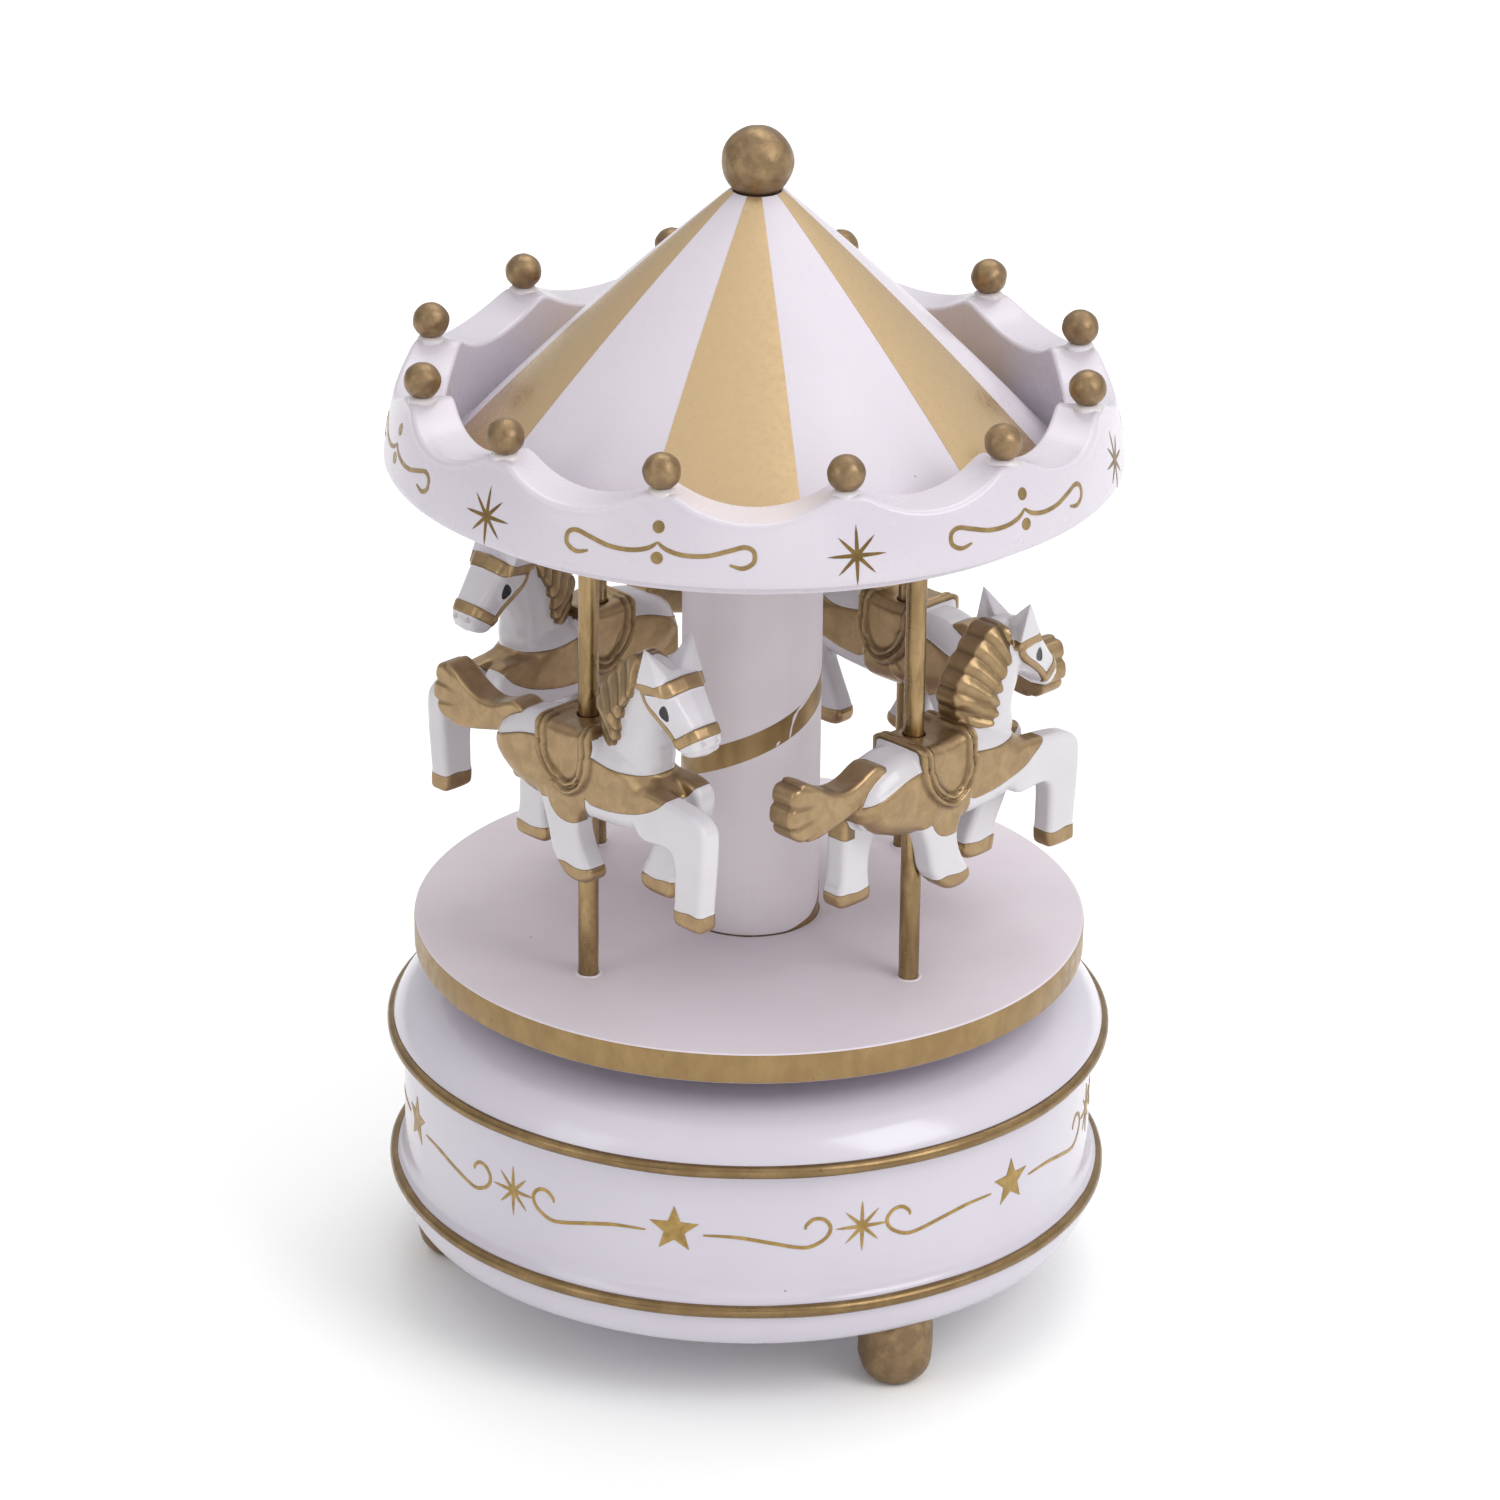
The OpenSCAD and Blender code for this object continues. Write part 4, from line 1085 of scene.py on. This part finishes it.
def horse_paint(u, w, z):
    """How deep a point lies in the gilt paint, in mm; negative outside it. The same for the black of the eye.
    The third value is painted shade, a darkening of the gold in the grooves of the relief, 0 to 1."""
    body, mane, tail = horse_parts(u, w, z)
    aside = np.abs(w - HORSE_W)
    saddle = inside_distance(SADDLE, u, z)
    cloth = np.minimum(inside_distance(BREAST, u, z), inside_distance(BLANKET, u, z))
    gold = np.maximum(-saddle - 0.05, -cloth)
    gold = np.where(z > np.where(aside > 2.2, 80.0, 83.5), gold, -1)
    gold = np.maximum(gold, np.where(aside > 2.2, -inside_distance(FLAP, u, z), -1))
    gold = np.maximum(gold, np.where((u > 3) & (u < 6.6) & (z > 91.8), 94 - z, -1))
    for hair, rest in ((mane, tail), (tail, mane)):
        gold = np.maximum(gold, np.minimum(np.minimum(body, rest) - hair + 0.1, 3))
    straps = np.maximum(-inside_distance(BROW, u, z, 1), -inside_distance(NOSE, u, z, 1))
    straps = np.maximum(straps, 0.5 - line_distance(CHEEK, u, z))
    gold = np.maximum(gold, np.where((u > 14) & (z > 91.5), straps, -1))
    gold = np.maximum(gold, np.where(z < 76, HOOF_TOP - z + 0.12 * np.sin(u * 1.3), -1))
    strip = np.minimum(np.minimum(w + 0.6, 2.9 - w), z - 80.2)
    gold = np.maximum(gold, np.where((u < -11.5) & (z < 84.5) & (z > 79), strip, -1))
    eye = np.where(aside > 1.8, -inside_distance(EYE, u, z), -1)
    # Painted shade: the gold darkens in the grooves beside the saddle's ridges, between the mane's locks and
    # between the tail's strands.
    groove_shade = bump(saddle + 1.05, 0.4) + bump(saddle + 2.15, 0.4) + bump(saddle - 0.15, 0.35)
    lock_groove_shade = (1 - locks(u, z)) ** 2 * (mane < np.minimum(body, tail) + 0.2)
    groove_shade = np.maximum(groove_shade * (aside > 2), lock_groove_shade)
    groove_shade = np.maximum(groove_shade, (1 - tail_strands(u, z)) * (tail < body) * 0.8)
    return gold, eye, groove_shade


gu = np.arange(-28.6, 29.2, STEP)[:, None, None]
gw = np.arange(-8.4, 6.0, STEP)[None, :, None]
gz = np.arange(68.4, 110.2, STEP)[None, None, :]
horse_grid = horse_field(gu, gw, gz)
grid_origin = np.array([gu[0, 0, 0], gw[0, 0, 0], gz[0, 0, 0]])
horse_verts, horse_quads = surface_net(horse_grid, grid_origin, STEP)
horse_verts = settle(horse_verts, horse_grid, grid_origin, STEP)
gilt_depth, eye_depth, groove_shade = horse_paint(*horse_verts.T)


def horse_material():
    s = Shader("horse_plastic", (0.57, 0.55, 0.58), 0.26, Coat_Weight=0.12, Coat_Roughness=0.1)
    gilt = s.math("GREATER_THAN", s.attribute("gilt"), 0.0)
    rim = s.ramp(s.attribute("gilt"), 0.0, 0.16)
    patches = s.ramp(s.noise(420, 6, 0.65, None, 0.5), 0.4, 0.68)
    gold = s.mix(patches, (0.29, 0.195, 0.10), (0.38, 0.26, 0.135))
    gold = s.mix(rim, (0.12, 0.08, 0.04), gold)
    # Painted shade: the gold darkens in the grooves of the saddle, mane and tail.
    gold = s.mix(s.math("MULTIPLY", s.attribute("groove_shade"), 0.65), gold, (0.09, 0.055, 0.025))
    plastic = s.mix(s.ramp(s.noise(90, 3), 0.35, 0.7), (0.57, 0.55, 0.58), (0.53, 0.51, 0.53))
    dust = s.specks(260, 0.0002, 0.08)
    plastic = s.mix(s.math("MULTIPLY", dust, 0.7), plastic, (0.14, 0.11, 0.1))
    colour = s.mix(gilt, plastic, gold)
    colour = s.mix(s.math("GREATER_THAN", s.attribute("eye"), 0.0), colour, (0.004, 0.004, 0.006))
    s.set("Base Color", colour)
    s.set("Metallic", s.math("MULTIPLY", gilt, 0.85))
    rough = s.math("ADD", gilt, s.math("MULTIPLY", s.noise(500, 4), 0.3))
    s.set("Roughness", s.ramp(rough, 0, 1.3, 0.2, 0.36))
    s.bump(s.math("MULTIPLY", s.noise(900, 4, 0.6), s.ramp(gilt, 0, 1, 0.15, 1.0)), 0.00008, 0.5)
    return s.material


horse_look = horse_material()
HORSE_LIFTS = (0.6, -0.2, 1.2, -1.2)
for number, (angle, lift) in enumerate(zip(POLE_ANGLES, HORSE_LIFTS), 1):
    turn = math.radians(angle)
    u, w, z = horse_verts.T
    x0, y0 = POLE_CIRCLE_R - w, u
    placed = np.stack([x0 * math.cos(turn) - y0 * math.sin(turn), x0 * math.sin(turn) + y0 * math.cos(turn),
                       z + lift], 1)
    horse = piece(f"horse_{number}_figure", placed, horse_quads, horse_look, "carousel", "horse_plastic",
                  [f"horse_{number}"], 50)
    for name, values in (("gilt", gilt_depth), ("eye", eye_depth), ("groove_shade", groove_shade)):
        layer = horse.data.attributes.new(name, "FLOAT", "POINT")
        layer.data.foreach_set("value", values.astype(np.float32))

# ---------------- floor and finish

CAD_LOOKS = (
    (white_gloss, "bottom_cover"),
    (zinc, "movement_bedplate"),
    (steel, "cover_screws bedplate_screws mainspring comb spindle retaining_clip cylinder_arbor "
            "cylinder_pinion governor_pinion governor_arbor governor_worm spindle_nut"),
    (brass, "top_bushing spring_housing comb_screws drive_gear pinned_cylinder cylinder_wheel governor_wheel "
            "air_brake"),
)
for look, names in CAD_LOOKS:
    for name in names.split():
        for material_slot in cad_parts[name].material_slots:
            material_slot.material = look

floor_mesh = bpy.data.meshes.new("floor")
floor_mesh.from_pydata([(-6, -6, 0), (6, -6, 0), (6, 6, 0), (-6, 6, 0)], [], [(0, 1, 2, 3)])
floor = link(bpy.data.objects.new("floor", floor_mesh))
floor_look = Shader("floor_paper", (0.93, 0.93, 0.93), 0.9)
floor_look.set("Base Color", floor_look.mix(floor_look.noise(8, 3), (0.93, 0.93, 0.93), (0.95, 0.95, 0.95)))
floor_mesh.materials.append(floor_look.material)
